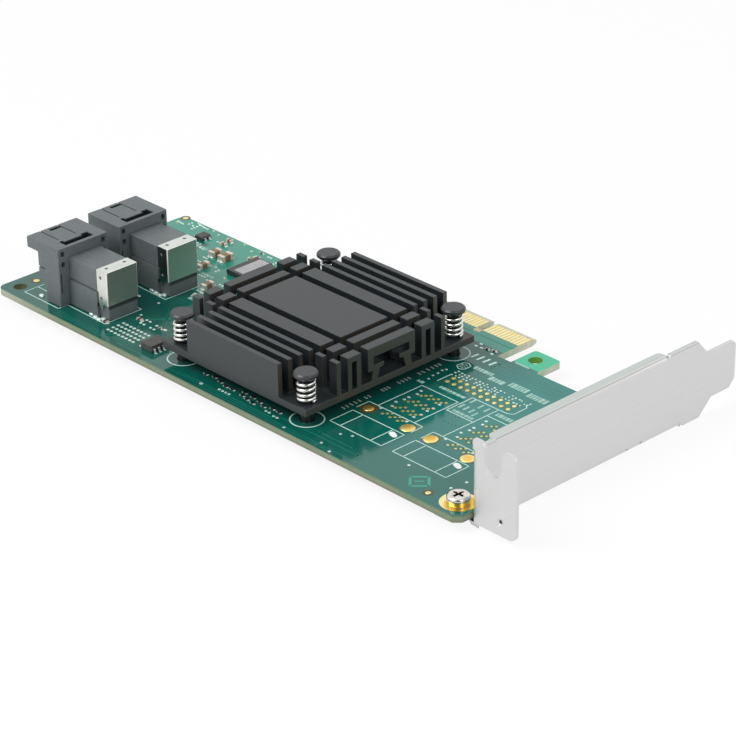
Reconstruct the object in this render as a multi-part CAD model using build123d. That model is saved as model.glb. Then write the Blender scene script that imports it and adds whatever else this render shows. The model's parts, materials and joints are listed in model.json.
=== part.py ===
from build123d import *
import os

# A low-profile expansion card that carries drive signals from its edge contacts to two cable sockets.
# Origin: on the tongue's outer edge, at the centre of its key slot, on the component face of the board.
# +X runs along the board to the mounting bracket, +Y points out of the edge contacts, +Z is up.

# Circuit board
board_thick = 1.57
board_left = -94.28
board_depth = 68.90
main_depth = 56.50
board_right_gap = 0.13
left_corner_r = 2.0
right_corner_cut = 1.5

# Edge tongue and its contacts
tongue_left = -39.15
tongue_right = 12.15
key_width = 1.90
key_depth = 5.80
bevel_depth = 1.30
bevel_height = 0.45
contact_pitch = 1.0
contact_width = 0.70
contact_first = 1.5
contact_start = 0.55
contact_length = 5.15
contact_thick = 0.05
long_side_count = 38
short_side_count = 11

# Retention tab beside the tongue
tab_left = 16.20
tab_right = 23.90
tab_reach = 64.40
tab_hole_x = 19.50
tab_hole_y = 60.80
tab_hole_r = 1.65
tab_corner_r = 0.8

# Plain tooling hole in the far corner from the bracket
corner_hole_x = -90.50
corner_hole_y = 3.90
corner_hole_r = 1.60

# Heat sink, an extrusion along X with slots sawn across it near both ends
sink_x = -15.70
sink_y = 28.85
sink_base_z = 2.80
sink_base_thick = 1.60
sink_base_width = 50.0
sink_top = 12.20
block_length = 29.60
saw_inner = 1.70
saw_outer = 2.00
row_length = 2.40
saw_floor = 0.40
fin_thick = 1.20
fin_pitch = 3.00
fin_count = 4
twin_inner = 8.90
twin_outer = 12.80
twin_slot_inner = 10.20
twin_slot_outer = 11.60
twin_roof = 1.40
arch_half = 6.95
arch_inside = 5.25
arch_roof = 2.30
hook_tip = 2.20
hook_top = 8.00
hook_under = 6.70
hook_tip_under = 7.00
leg_inner_top = 3.50
leg_inner_foot = 4.15
leg_outer_top = 5.60
leg_outer_foot = 6.00

# Processor package and the pad between it and the heat sink
chip_side = 27.0
chip_substrate_thick = 1.15
lid_side = 23.0
lid_corner_r = 1.0
pad_side = 22.0
pad_thick = 0.25

# Push pins and their springs
pin_end_gap = 3.25
pin_side_gap = 3.25
pin_head_r = 2.75
pin_head_top = 11.45
pin_head_flat = 0.55
pin_head_edge = 0.35
pin_collar_z = 9.90
pin_collar_r = 2.00
pin_shank_r = 1.40
pin_hole_clear = 0.20
pin_barb_r = 1.95
pin_barb_high = 0.45
pin_reach = 3.94
pin_tip_r = 0.70
pin_slit = 0.60
spring_wire_r = 0.32
spring_wire_sides = 8
spring_outer_r = 2.22
spring_turns = 4.5
spring_clear = 0.02

# Cable sockets, two alike, mouths toward -X
socket_ys = {"a": 10.72, "b": 28.49}
shell_back = -74.76
shell_width = 14.33
shell_top = 14.40
shell_bottom = 0.20
shell_roof_length = 11.34
shell_roof_under = 11.80
shell_wall_length = 7.49
shell_foot_length = 5.04
shell_foot_high = 5.50
shell_foot_slope = 0.60
shell_wall = 1.45
shell_back_wall = 1.80
mouth_half = 5.70
mouth_floor = 1.70
shell_rim_r = 0.30
side_groove_z = 8.15
side_groove_high = 0.35
side_groove_deep = 0.30
side_groove_long = 2.35
panel_low = -3.20
panel_high = 1.85
panel_groove = 0.35
panel_groove_deep = 0.50
panel_length = 6.80
roof_slot_inset = 0.75
roof_slot_long = 1.00
roof_slot_low = -1.50
latch_inset = 1.04
latch_long = 2.55
latch_low = -4.00
latch_high = 4.10
latch_neck = 1.00
latch_step = 0.75
back_notch_wide = 1.00
back_notch_high = 1.25
back_notch_deep = 1.20
back_notch_zs = (12.40, 9.80)
back_notch_side = 5.85
back_slit_side = 6.55
back_slit_wide = 0.35
back_slit_zs = (3.60, 8.30)

# Wafer stack behind each socket, with its cap
nose_reach = 3.14
stack_length = 9.86
stack_half = 4.45
stack_offset = 0.35
stack_top = 11.80
stack_bottom = 0.20
stack_groove_z = 6.55
stack_groove_high = 0.30
stack_groove_deep = 0.25
stack_fit = 0.10
stack_foot_half = 4.75
stack_foot_high = 6.40
tail_block_length = 3.40
tail_block_top = 3.20
tail_block_half = 4.10
nose_low = 2.60
nose_high = 10.90
nose_slot_high = 1.55
nose_slot_deep = 3.00
nose_slot_zs = (4.40, 8.60)
cap_length = 3.55
cap_rise = 0.22
cap_low = 3.80
cap_sheet = 0.20
cap_half = 4.45
cap_window_r = 0.42
cap_window_inset = 1.30
cap_window_y = 2.60
cap_window_zs = (5.20, 10.30)
cap_foot_low = 2.50
cap_foot_wide = 1.60
lead_pitch = 0.75
lead_count = 9
lead_width = 0.30
lead_thick = 0.15
lead_length = 2.40
peg_r = 0.80
peg_reach = 1.20
peg_inset = 2.44
peg_dy = 5.60
peg_clear = 0.08
tail_rows = 4
tail_row_pitch = 2.00
tail_length = 0.90
tail_side = 0.40
tail_row_inset = 2.46

# Mounting bracket, one folded sheet
sheet = 0.86
bracket_face = 57.19
bracket_low = -3.94
bracket_high = 14.48
bend_r = 0.45
fold_y = 3.71
lip_reach = 2.60
lip_root = 2.00
lip_start = 9.80
lip_end_high = 61.00
lip_low_longer = 4.60
lip_end_r = 1.20
shoulder_end = 71.60
shoulder_skew = 1.10
taper_high = 3.50
taper_low = 3.90
tongue_high = 10.60
tongue_low = -0.30
tongue_corner = 1.80
bracket_tip = 83.00
fold_tab_reach = 11.43
fold_tab_low = -2.15
fold_tab_high = 16.90
fold_tab_corner_r = 1.70
screw_slot_reach = 5.11
screw_slot_wide = 4.42
screw_slot_bottom = 10.20
prong_corner_r = 1.40
dimple_reach = 7.06
dimple_z = 0.90
dimple_r = 1.05
dimple_hole_r = 0.35
dimple_deep = 0.35

# Bracket ears under the board, and their screws
ear_screw_inset = 5.52
ear_screw_ys = {"near": 4.86, "far": 49.00}
ear_length = 8.00
ear_width = 8.00
ear_corner_r = 1.50
ear_strip = 3.70
ear_strip_shift = 2.15
ear_step_inset = 2.19
ear_step_long = 1.60
ear_lip_gap = 0.60
screw_r = 1.45
screw_hole_clear = 0.20
screw_thread_clear = 0.03
screw_head_r = 2.50
screw_head_high = 1.85
screw_head_edge_r = 0.70
screw_reach = 3.60
cross_width = 0.75
cross_length = 2.90
cross_deep = 0.95
screw_pad_r = 3.95
screw_pad_thick = 0.05

# Round plated pads of the parts that are left off this board
round_pads = {
    "north": (10.0, 19.5, 1.25),
    "middle": (22.2, 19.3, 1.70),
    "south": (29.0, 19.3, 1.70),
    "east": (40.4, 18.8, 1.70),
}
round_pad_hole_share = 0.42
round_pad_thick = 0.05

# Small chips: x, y, length along X, width along Y, height
regulator = (-59.10, main_depth - 9.60, 5.80, 9.40, 1.30)
memory = (-44.40, 6.00, 3.90, 5.00, 1.60)
logic = (-81.10, main_depth - 5.20, 2.70, 2.80, 0.95)
chip_side_slope = 0.20
chip_stand = 0.10
chip_lead_width = 0.42
chip_lead_thick = 0.18
chip_lead_reach = 1.05
chip_lead_pitch = 1.27

# Ceramic capacitors and resistors: x, y, size along X, size along Y, height
capacitors = {
    "tall_1": (-67.70, main_depth - 9.60, 1.90, 3.40, 1.60),
    "tall_2": (-71.30, main_depth - 9.70, 1.80, 3.00, 1.50),
    "mid_1": (-68.40, 40.50, 1.60, 3.20, 1.20),
    "mid_2": (-59.40, 34.20, 1.60, 3.20, 1.20),
    "row_1": (-74.20, main_depth - 4.40, 1.60, 0.85, 0.80),
    "row_2": (-74.70, main_depth - 2.20, 1.60, 0.85, 0.80),
    "coil_1": (-63.10, main_depth - 5.80, 1.60, 0.85, 0.80),
    "coil_2": (-62.50, main_depth - 4.20, 1.60, 0.85, 0.80),
}
resistors = {
    "edge_1": (8.40, board_depth - 11.70, 1.00, 0.50, 0.35),
    "edge_2": (10.20, board_depth - 11.30, 1.00, 0.50, 0.35),
    "left_1": (-62.00, 6.20, 1.60, 0.80, 0.45),
    "left_2": (-57.30, 12.30, 1.60, 0.80, 0.45),
    "left_3": (-50.50, 12.70, 1.00, 0.50, 0.35),
    "left_4": (-64.40, main_depth - 1.10, 1.00, 0.50, 0.35),
}
end_band = 0.25
end_band_proud = 0.04

# Worked out from the sizes above
board_bottom = -board_thick
near_edge = -board_depth
far_edge = near_edge + main_depth
sheet_back = bracket_face - sheet
board_right = sheet_back - board_right_gap
sink_base_top = sink_base_z + sink_base_thick
sink_half = block_length / 2 + saw_inner + saw_outer + 2 * row_length
fin_outer = sink_base_width / 2
pin_dx = sink_half - pin_end_gap
pin_dy = sink_base_width / 2 - pin_side_gap
shell_roof_front = shell_back - shell_roof_length
shell_wall_front = shell_back - shell_wall_length
shell_foot_front = shell_back - shell_foot_length
side_groove_end = shell_wall_front + side_groove_long
panel_end = shell_roof_front + panel_length
roof_slot_front = shell_roof_front + roof_slot_inset
roof_slot_back = roof_slot_front + roof_slot_long
latch_back = shell_back - latch_inset
latch_front = latch_back - latch_long
stack_front = shell_back - nose_reach
stack_back = shell_back + stack_length
tail_block_end = stack_back + tail_block_length
cap_end = stack_back + cap_length
cap_top = stack_top + cap_rise
cap_window_x = stack_back + cap_window_inset
peg_x = shell_back - peg_inset
tail_first_x = shell_back + tail_row_inset
lip_end_low = lip_end_high + lip_low_longer
taper_end_high = shoulder_end - shoulder_skew + taper_high
taper_end_low = shoulder_end + taper_low
fold_tab_right = bracket_face + fold_tab_reach
screw_slot_x = bracket_face + screw_slot_reach
dimple_x = bracket_face + dimple_reach
ear_screw_x = bracket_face - ear_screw_inset
ear_step_start = bracket_face - ear_step_inset
ear_step_end = ear_step_start - ear_step_long


def from_edge(y):
    """A place measured in from the board's near edge, as a Y value."""
    return near_edge + y


def block(x0, x1, y0, y1, z0, z1):
    """A block between two opposite corners."""
    centre = Pos((x0 + x1) / 2, (y0 + y1) / 2, (z0 + z1) / 2)
    return centre * Box(abs(x1 - x0), abs(y1 - y0), abs(z1 - z0))


def rectangle(a0, a1, b0, b1):
    """A flat rectangle between two opposite corners."""
    return Pos((a0 + a1) / 2, (b0 + b1) / 2) * Rectangle(a1 - a0, b1 - b0)


def post(x, y, radius, z0, z1):
    """A round post from one height to another."""
    return Pos(x, y, (z0 + z1) / 2) * Cylinder(radius, z1 - z0)


def outline(points):
    """A filled outline through points."""
    return make_face(Polyline(*points, close=True))


def along_x(sketch, x0, x1):
    """A sketch of the Y and Z plane, made solid from one X to another."""
    return extrude(Plane.YZ.offset(x0) * sketch, amount=x1 - x0)


def along_y(sketch, y0, y1):
    """A sketch of the X and Z plane, made solid from one Y to another."""
    plane = Plane(origin=(0, y1, 0), x_dir=(1, 0, 0), z_dir=(0, -1, 0))
    return extrude(plane * sketch, amount=y1 - y0)


def rounded(sketch, corners, radius):
    """A sketch with the corners that lie nearest to the given points rounded."""
    for corner in corners:
        vertex = sketch.vertices().sort_by_distance((corner[0], corner[1], 0))[0]
        sketch = fillet(vertex, radius)
    return sketch


def joined(pieces):
    """Overlapping or touching pieces as one solid."""
    whole = pieces[0]
    for piece in pieces[1:]:
        whole = whole + piece
    return whole


def write(name, solids):
    """One file for each separate piece or group of like pieces."""
    if not isinstance(solids, (list, tuple)):
        solids = [solids]
    shape = Compound(children=[s for item in solids for s in item.solids()])
    shape.label = name
    export_step(shape, f"parts/{name}.step")


def pin_places():
    """Where the four push pins stand, by name."""
    places = {}
    for y_name, y_side in (("near", -1), ("far", 1)):
        for x_name, x_side in (("left", -1), ("right", 1)):
            places[f"{y_name}_{x_name}"] = (sink_x + x_side * pin_dx, from_edge(sink_y) + y_side * pin_dy)
    return places


def board_outline():
    """The card's plan: main field, edge tongue with its key slot, and retention tab."""
    main = rectangle(board_left, board_right, near_edge, far_edge)
    main = rounded(main, [(board_left, near_edge), (board_left, far_edge)], left_corner_r)
    corner = main.vertices().sort_by_distance((board_right, near_edge, 0))[0]
    main = chamfer(corner, right_corner_cut)
    root = far_edge - left_corner_r
    tongue = rectangle(tongue_left, tongue_right, root, 0)
    tab = rectangle(tab_left, tab_right, root, from_edge(tab_reach))
    tab_end = from_edge(tab_reach)
    tab = rounded(tab, [(tab_left, tab_end), (tab_right, tab_end)], tab_corner_r)
    key_floor = -key_depth + key_width / 2
    key = rectangle(-key_width / 2, key_width / 2, key_floor, key_width)
    key = key + Pos(0, key_floor) * Circle(key_width / 2)
    return main + tongue + tab - key


def circuit_board():
    """The laminate, with every hole that another piece passes through."""
    board = extrude(Pos(0, 0, board_bottom) * board_outline(), amount=board_thick)
    bevel = [(0, 0), (-bevel_depth, 0), (0, -bevel_height)]
    under = [(0, board_bottom), (-bevel_depth, board_bottom), (0, board_bottom + bevel_height)]
    for wedge in (bevel, under):
        board = board - along_x(outline(wedge), tongue_left, tongue_right)
    holes = [(corner_hole_x, from_edge(corner_hole_y), corner_hole_r)]
    holes.append((tab_hole_x, from_edge(tab_hole_y), tab_hole_r))
    for x, y in pin_places().values():
        holes.append((x, y, pin_shank_r + pin_hole_clear))
    for y in ear_screw_ys.values():
        holes.append((ear_screw_x, from_edge(y), screw_r + screw_hole_clear))
    for y in socket_ys.values():
        for side in (-1, 1):
            holes.append((peg_x, from_edge(y) + side * peg_dy, peg_r + peg_clear))
    for x, y, radius in holes:
        board = board - post(x, y, radius, board_bottom - board_thick, board_thick)
    return board


def edge_contacts(z0, z1):
    """One face's row of contacts, both sides of the key."""
    row = []
    for side, count in ((-1, long_side_count), (1, short_side_count)):
        for step in range(count):
            x = side * (contact_first + step * contact_pitch)
            y1 = -bevel_depth - contact_start + contact_start / 2
            y0 = y1 - contact_length
            row.append(block(x - contact_width / 2, x + contact_width / 2, y0, y1, z0, z1))
    return row


def sink_profile():
    """The heat sink's extruded section, across the card, with Y measured from its middle."""
    half = sink_base_width / 2
    section = rectangle(-half, half, sink_base_z, sink_base_top)
    for side in (-1, 1):
        for fin in range(fin_count):
            outer = fin_outer - fin * fin_pitch
            low, high = sorted((side * outer, side * (outer - fin_thick)))
            section = section + rectangle(low, high, sink_base_top, sink_top)
        low, high = sorted((side * twin_inner, side * twin_outer))
        section = section + rectangle(low, high, sink_base_top, sink_top)
        low, high = sorted((side * twin_slot_inner, side * twin_slot_outer))
        section = section - rectangle(low, high, sink_base_top, sink_top - twin_roof)
        arch = [
            (0, sink_top),
            (arch_half, sink_top),
            (arch_half, hook_under),
            (leg_outer_top, hook_under),
            (leg_outer_foot, sink_base_top),
            (leg_inner_foot, sink_base_top),
            (leg_inner_top, hook_under),
            (hook_tip, hook_tip_under),
            (hook_tip, hook_top),
            (arch_inside, hook_top),
            (arch_inside, sink_top - arch_roof),
            (0, sink_top - arch_roof),
        ]
        section = section + outline([(side * y, z) for y, z in arch])
    return Pos(from_edge(sink_y), 0) * section


def heatsink():
    """The extrusion, sawn across twice at each end, with pockets for the four push pins."""
    sink = along_x(sink_profile(), sink_x - sink_half, sink_x + sink_half)
    y0 = from_edge(sink_y) - sink_base_width / 2
    y1 = from_edge(sink_y) + sink_base_width / 2
    above = sink_top + fin_thick
    pocket_inner = fin_outer - (fin_count - 1) * fin_pitch + fin_thick
    for side in (-1, 1):
        first = sink_x + side * block_length / 2
        second = first + side * (saw_inner + row_length)
        end = sink_x + side * (sink_half + fin_thick)
        floor = sink_base_top + saw_floor
        sink = sink - block(first, first + side * saw_inner, y0, y1, floor, above)
        sink = sink - block(second, second + side * saw_outer, y0, y1, floor, above)
        for hand in (-1, 1):
            inner = from_edge(sink_y) + hand * pocket_inner
            outer = from_edge(sink_y) + hand * (fin_outer + fin_thick)
            sink = sink - block(first, end, inner, outer, sink_base_top, above)
    for x, y in pin_places().values():
        sink = sink - post(x, y, pin_shank_r + pin_hole_clear, sink_base_z - fin_thick, above)
    return sink


def chip_substrate():
    """The processor's square carrier, soldered flat on the board."""
    half = chip_side / 2
    y = from_edge(sink_y)
    return block(sink_x - half, sink_x + half, y - half, y + half, 0, chip_substrate_thick)


def chip_lid():
    """The metal lid over the processor, with rounded corners."""
    plate = RectangleRounded(lid_side, lid_side, lid_corner_r)
    lid_high = sink_base_z - pad_thick - chip_substrate_thick
    return extrude(Pos(sink_x, from_edge(sink_y), chip_substrate_thick) * plate, amount=lid_high)


def thermal_pad():
    """The soft pad that fills the gap between the lid and the heat sink."""
    half = pad_side / 2
    y = from_edge(sink_y)
    return block(sink_x - half, sink_x + half, y - half, y + half, sink_base_z - pad_thick, sink_base_z)


def push_pin(x, y):
    """A moulded pin: flat head, collar, plain shank and a split barbed tip under the board."""
    barb_top = board_bottom - pin_hole_clear
    profile = [
        (0, pin_head_top),
        (pin_head_r - pin_head_edge, pin_head_top),
        (pin_head_r, pin_head_top - pin_head_edge),
        (pin_head_r, pin_head_top - pin_head_edge - pin_head_flat),
        (pin_collar_r, pin_collar_z),
        (pin_shank_r, pin_collar_z),
        (pin_shank_r, barb_top),
        (pin_barb_r, barb_top),
        (pin_barb_r, barb_top - pin_barb_high),
        (pin_tip_r, -pin_reach),
        (0, -pin_reach),
    ]
    body = revolve(Plane.XZ * outline(profile), Axis.Z)
    slit = block(-pin_head_r, pin_head_r, -pin_slit / 2, pin_slit / 2, -pin_reach - pin_slit, 0)
    return Pos(x, y, 0) * (body - slit)


def pin_spring(x, y):
    """The coil spring between the heat sink's base and the pin's collar."""
    low = sink_base_top + spring_clear + spring_wire_r
    high = pin_collar_z - spring_clear - spring_wire_r
    middle_r = spring_outer_r - spring_wire_r
    path = Helix(pitch=(high - low) / spring_turns, height=high - low, radius=middle_r)
    start = Plane(origin=path @ 0, z_dir=path % 0)
    coil = sweep(start * RegularPolygon(spring_wire_r, spring_wire_sides), path=path, is_frenet=True)
    return Pos(x, y, low) * coil


def socket_shell(y):
    """The socket's moulded shell: overhanging roof, stepped walls, open mouth and latch slots."""
    half = shell_width / 2
    side_view = [
        (shell_roof_front, shell_top),
        (shell_back, shell_top),
        (shell_back, shell_bottom),
        (shell_foot_front, shell_bottom),
        (shell_foot_front, shell_foot_high),
        (shell_wall_front, shell_foot_high + shell_foot_slope),
        (shell_wall_front, shell_roof_under),
        (shell_roof_front, shell_roof_under),
    ]
    shell = along_y(outline(side_view), y - half, y + half)
    shell = fillet(shell.edges().filter_by(Axis.Z).group_by(Axis.X)[-1], shell_rim_r)
    front = shell_roof_front - shell_wall
    back = shell_back - shell_back_wall
    shell = shell - block(front, back, y - mouth_half, y + mouth_half, mouth_floor, shell_roof_under)
    stack_y = y + stack_offset
    hole_half = stack_half + stack_fit
    shell = shell - block(back - shell_wall, shell_back + shell_wall, stack_y - hole_half,
                          stack_y + hole_half, shell_bottom - shell_wall, stack_top + stack_fit)
    foot_half = stack_foot_half + stack_fit
    shell = shell - block(back - shell_wall, shell_back + shell_wall, stack_y - foot_half,
                          stack_y + foot_half, shell_bottom - shell_wall, stack_foot_high + stack_fit)
    for side in (-1, 1):
        face = y + side * half
        groove = sorted((face, face - side * side_groove_deep))
        shell = shell - block(shell_wall_front - shell_wall, side_groove_end, groove[0], groove[1],
                              side_groove_z - side_groove_high / 2, side_groove_z + side_groove_high / 2)
    for edge in (panel_low, panel_high):
        shell = shell - block(shell_roof_front - shell_wall, panel_end, y + edge - panel_groove,
                              y + edge, shell_top - panel_groove_deep, shell_top + shell_wall)
    above = shell_top + shell_wall
    shell = shell - block(roof_slot_front, roof_slot_back, y + roof_slot_low, y + panel_high,
                          shell_roof_under - stack_fit, above)
    latch = rectangle(latch_front + latch_step, latch_back, y + latch_low, y + latch_high)
    for y0, y1 in ((latch_low, latch_low + latch_neck), (latch_high - 2 * latch_neck, latch_high)):
        latch = latch + rectangle(latch_front, latch_back, y + y0, y + y1)
    shell = shell - extrude(Pos(0, 0, stack_top + stack_fit + shell_rim_r) * latch, amount=above - stack_top)
    for side in (-1, 1):
        for z in back_notch_zs:
            notch_y = y + side * back_notch_side
            shell = shell - block(shell_back - back_notch_deep, shell_back + shell_wall,
                                  notch_y - back_notch_wide / 2, notch_y + back_notch_wide / 2,
                                  z, z + back_notch_high)
        slit_y = y + side * back_slit_side
        shell = shell - block(shell_back - back_notch_deep, shell_back + shell_wall,
                              slit_y - back_slit_wide / 2, slit_y + back_slit_wide / 2, *back_slit_zs)
        shell = shell + post(peg_x, y + side * peg_dy, peg_r, board_bottom + board_thick - peg_reach,
                             mouth_floor)
    return shell


def wafer_stack(y):
    """The moulded block that holds the contact wafers, with its nose inside the socket's mouth."""
    middle = y + stack_offset
    stack = block(stack_front + nose_slot_deep, stack_back, middle - stack_half, middle + stack_half,
                  stack_bottom, stack_top)
    stack = stack + block(shell_back - shell_back_wall, stack_back, middle - stack_foot_half,
                          middle + stack_foot_half, stack_bottom, stack_foot_high)
    stack = stack + block(stack_front, stack_front + nose_slot_deep, middle - stack_half,
                          middle + stack_half, nose_low, nose_high)
    inner = cap_half - cap_sheet
    stack = stack + block(stack_back, cap_end - cap_sheet, middle - inner, middle + inner,
                          stack_bottom, cap_top - cap_sheet)
    stack = stack - block(stack_back, tail_block_end + tail_block_top, middle - inner, middle + inner,
                          stack_bottom - tail_block_top, cap_low - stack_fit)
    stack = stack + block(stack_back, tail_block_end, middle - tail_block_half,
                          middle + tail_block_half, stack_bottom, tail_block_top)
    stack = stack + block(stack_back, cap_end - cap_sheet, middle - tail_block_half,
                          middle + tail_block_half, tail_block_top, cap_low)
    for z in nose_slot_zs:
        stack = stack - block(stack_front - nose_slot_deep, stack_front + nose_slot_deep,
                              middle - stack_half + shell_wall / 2, middle + stack_half - shell_wall / 2,
                              z - nose_slot_high / 2, z + nose_slot_high / 2)
    for side in (-1, 1):
        face = middle + side * stack_half
        groove = sorted((face, face - side * stack_groove_deep))
        stack = stack - block(shell_back, stack_back, groove[0], groove[1],
                              stack_groove_z - stack_groove_high / 2, stack_groove_z + stack_groove_high / 2)
    return stack


def stack_contacts(y):
    """The gold spring contacts above and below each slot of the nose."""
    leads = []
    for z in nose_slot_zs:
        for side in (-1, 1):
            wall = z + side * nose_slot_high / 2
            low, high = sorted((wall, wall - side * lead_thick))
            for step in range(lead_count):
                lead_y = y + stack_offset + (step - (lead_count - 1) / 2) * lead_pitch
                x1 = stack_front + nose_slot_deep
                leads.append(block(x1 - lead_length, x1, lead_y - lead_width / 2,
                                   lead_y + lead_width / 2, low, high))
    return leads


def stack_cap(y):
    """The thin folded cap over the end of the wafer stack: top, two sides and the back."""
    middle = y + stack_offset
    cap = block(stack_back, cap_end, middle - cap_half, middle + cap_half, cap_low, cap_top)
    upright = cap.edges().filter_by(Axis.Z).group_by(Axis.X)[-1]
    cap = fillet(upright, cap_sheet * 1.5)
    inner = cap_half - cap_sheet
    cap = cap - block(stack_back - cap_sheet, cap_end - cap_sheet, middle - inner, middle + inner,
                      cap_low - cap_sheet, cap_top - cap_sheet)
    for side in (-1, 1):
        foot_y = sorted((middle + side * cap_half, middle + side * inner))
        foot = [
            (stack_back + cap_sheet, cap_low),
            (stack_back + cap_sheet + cap_foot_wide, cap_low),
            (stack_back + cap_foot_wide, cap_foot_low),
            (stack_back + 2 * cap_sheet + cap_foot_wide / 2, cap_foot_low),
        ]
        cap = cap + along_y(outline(foot), foot_y[0], foot_y[1])
        window = Cylinder(cap_window_r, 4 * cap_sheet)
        cap = cap - Pos(cap_window_x, middle + side * cap_window_y, cap_top) * window
        for z in cap_window_zs:
            cap = cap - Pos(cap_window_x, middle + side * cap_half, z) * Rot(90, 0, 0) * window
    return cap


def socket_tails(y):
    """The ends of the contact pins, standing out of the board's underside."""
    tails = []
    low = board_bottom - tail_length
    for row in range(tail_rows):
        x = tail_first_x + row * tail_row_pitch
        for step in range(lead_count):
            tail_y = y + stack_offset + (step - (lead_count - 1) / 2) * lead_pitch
            half = tail_side / 2
            tails.append(block(x - half, x + half, tail_y - half, tail_y + half, low, board_bottom))
    return tails


def bracket_plate():
    """The flat of the bracket, with its stepped far end that drops into the slot of the case."""
    start = from_edge(fold_y) + sheet + bend_r
    y = from_edge
    middle = (bracket_high + bracket_low) / 2
    edge = [
        (start, bracket_low),
        (y(shoulder_end), bracket_low),
        (y(taper_end_low), tongue_low),
        (y(bracket_tip) - tongue_corner, tongue_low),
        (y(bracket_tip), tongue_low + tongue_corner),
        (y(bracket_tip), tongue_high - tongue_corner / 2),
        (y(bracket_tip) - tongue_corner / 2, tongue_high),
        (y(taper_end_high), tongue_high),
        (y(shoulder_end - shoulder_skew), bracket_high),
        (start, bracket_high),
        (start, middle),
    ]
    plate = along_x(outline(edge), sheet_back, bracket_face)
    root_high = bracket_high - lip_root
    root_low = bracket_low + lip_root
    past = sheet + lip_root
    plate = plate - block(sheet_back - past, bracket_face + past, y(lip_start), y(lip_end_high),
                          root_high, bracket_high + past)
    plate = plate - block(sheet_back - past, bracket_face + past, ear_edge("near", -1),
                          y(lip_end_low), bracket_low - past, root_low)
    for end, z in ((lip_end_high, bracket_high), (lip_end_low, bracket_low)):
        notch = Pos(sheet_back, y(end) + bend_r, z) * Rot(0, 90, 0) * Cylinder(bend_r, 4 * sheet)
        plate = plate - notch
    return plate


def lip(z_edge, inward, y0, y1):
    """A lip folded back along one long edge of the bracket, with the root that it grows from."""
    free = bracket_face - lip_reach
    profile = outline([
        (bracket_face, z_edge + inward * lip_root),
        (bracket_face, z_edge),
        (free, z_edge),
        (free, z_edge + inward * sheet),
        (sheet_back, z_edge + inward * sheet),
        (sheet_back, z_edge + inward * lip_root),
    ])
    profile = rounded(profile, [(bracket_face, z_edge)], bend_r + sheet)
    profile = rounded(profile, [(sheet_back, z_edge + inward * sheet)], bend_r)
    strip = along_y(profile, y0, y1)
    corners = strip.edges().filter_by(Axis.Z).group_by(Axis.X)[0]
    return fillet(corners, lip_end_r)


def ear_edge(name, side):
    """The Y of one edge of the strip that carries an ear."""
    return from_edge(ear_screw_ys[name] + ear_strip_shift) + side * ear_strip / 2


def ear(name):
    """An ear that steps up from the bracket's low edge to lie under the board, with its screw hole."""
    y0, y1 = ear_edge(name, -1), ear_edge(name, 1)
    top = board_bottom
    free = ear_screw_x - ear_length / 2
    profile = outline([
        (bracket_face, bracket_low + lip_root),
        (bracket_face, bracket_low),
        (ear_step_start, bracket_low),
        (ear_step_end, top - sheet),
        (free + ear_corner_r, top - sheet),
        (free + ear_corner_r, top),
        (ear_step_end - bend_r, top),
        (ear_step_start - bend_r, bracket_low + sheet),
        (sheet_back, bracket_low + sheet),
        (sheet_back, bracket_low + lip_root),
    ])
    profile = rounded(profile, [(bracket_face, bracket_low)], bend_r + sheet)
    strip = along_y(profile, y0, y1)
    centre_y = from_edge(ear_screw_ys[name])
    pad_end = ear_step_end - bend_r
    pad = rectangle(free, pad_end, centre_y - ear_width / 2, centre_y + ear_width / 2)
    corners = [(x, centre_y + s * ear_width / 2) for x in (free, pad_end) for s in (-1, 1)]
    pad = rounded(pad, corners, ear_corner_r)
    pad = extrude(Pos(0, 0, top - sheet) * pad, amount=sheet)
    hole = post(ear_screw_x, centre_y, screw_r + screw_thread_clear, top - 2 * sheet, top + sheet)
    return strip + pad - hole


def fold_tab():
    """The tab folded out from the plate, open-slotted for the case screw, with a small dimple."""
    y0 = from_edge(fold_y)
    left = bracket_face + bend_r
    tab = rectangle(left, fold_tab_right, fold_tab_low, fold_tab_high)
    tab = tab + rectangle(sheet_back + bend_r, left, bracket_high, fold_tab_high)
    tab = rounded(tab, [(fold_tab_right, fold_tab_low)], fold_tab_corner_r)
    tab = rounded(tab, [(sheet_back, fold_tab_high)], bend_r)
    half = screw_slot_wide / 2
    slot = rectangle(screw_slot_x - half, screw_slot_x + half, screw_slot_bottom + half,
                     fold_tab_high + half)
    slot = slot + Pos(screw_slot_x, screw_slot_bottom + half) * Circle(half)
    tab = tab - slot
    prong_tops = [(screw_slot_x - half, fold_tab_high), (screw_slot_x + half, fold_tab_high),
                  (fold_tab_right, fold_tab_high)]
    tab = rounded(tab, prong_tops, prong_corner_r)
    tab = along_y(tab, y0, y0 + sheet)
    cone = Cone(dimple_hole_r, dimple_r, dimple_deep)
    tab = tab - Pos(dimple_x, y0 + dimple_deep / 2, dimple_z) * Rot(90, 0, 0) * cone
    tab = tab - Pos(dimple_x, y0, dimple_z) * Rot(90, 0, 0) * Cylinder(dimple_hole_r, 4 * sheet)
    ring = Circle(bend_r + sheet) - Circle(bend_r)
    ring = ring & rectangle(-bend_r - sheet, 0, -bend_r - sheet, 0)
    centre = Pos(bracket_face + bend_r, y0 + sheet + bend_r, fold_tab_low)
    bend = extrude(centre * ring, amount=bracket_high - fold_tab_low)
    return tab + bend


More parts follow.
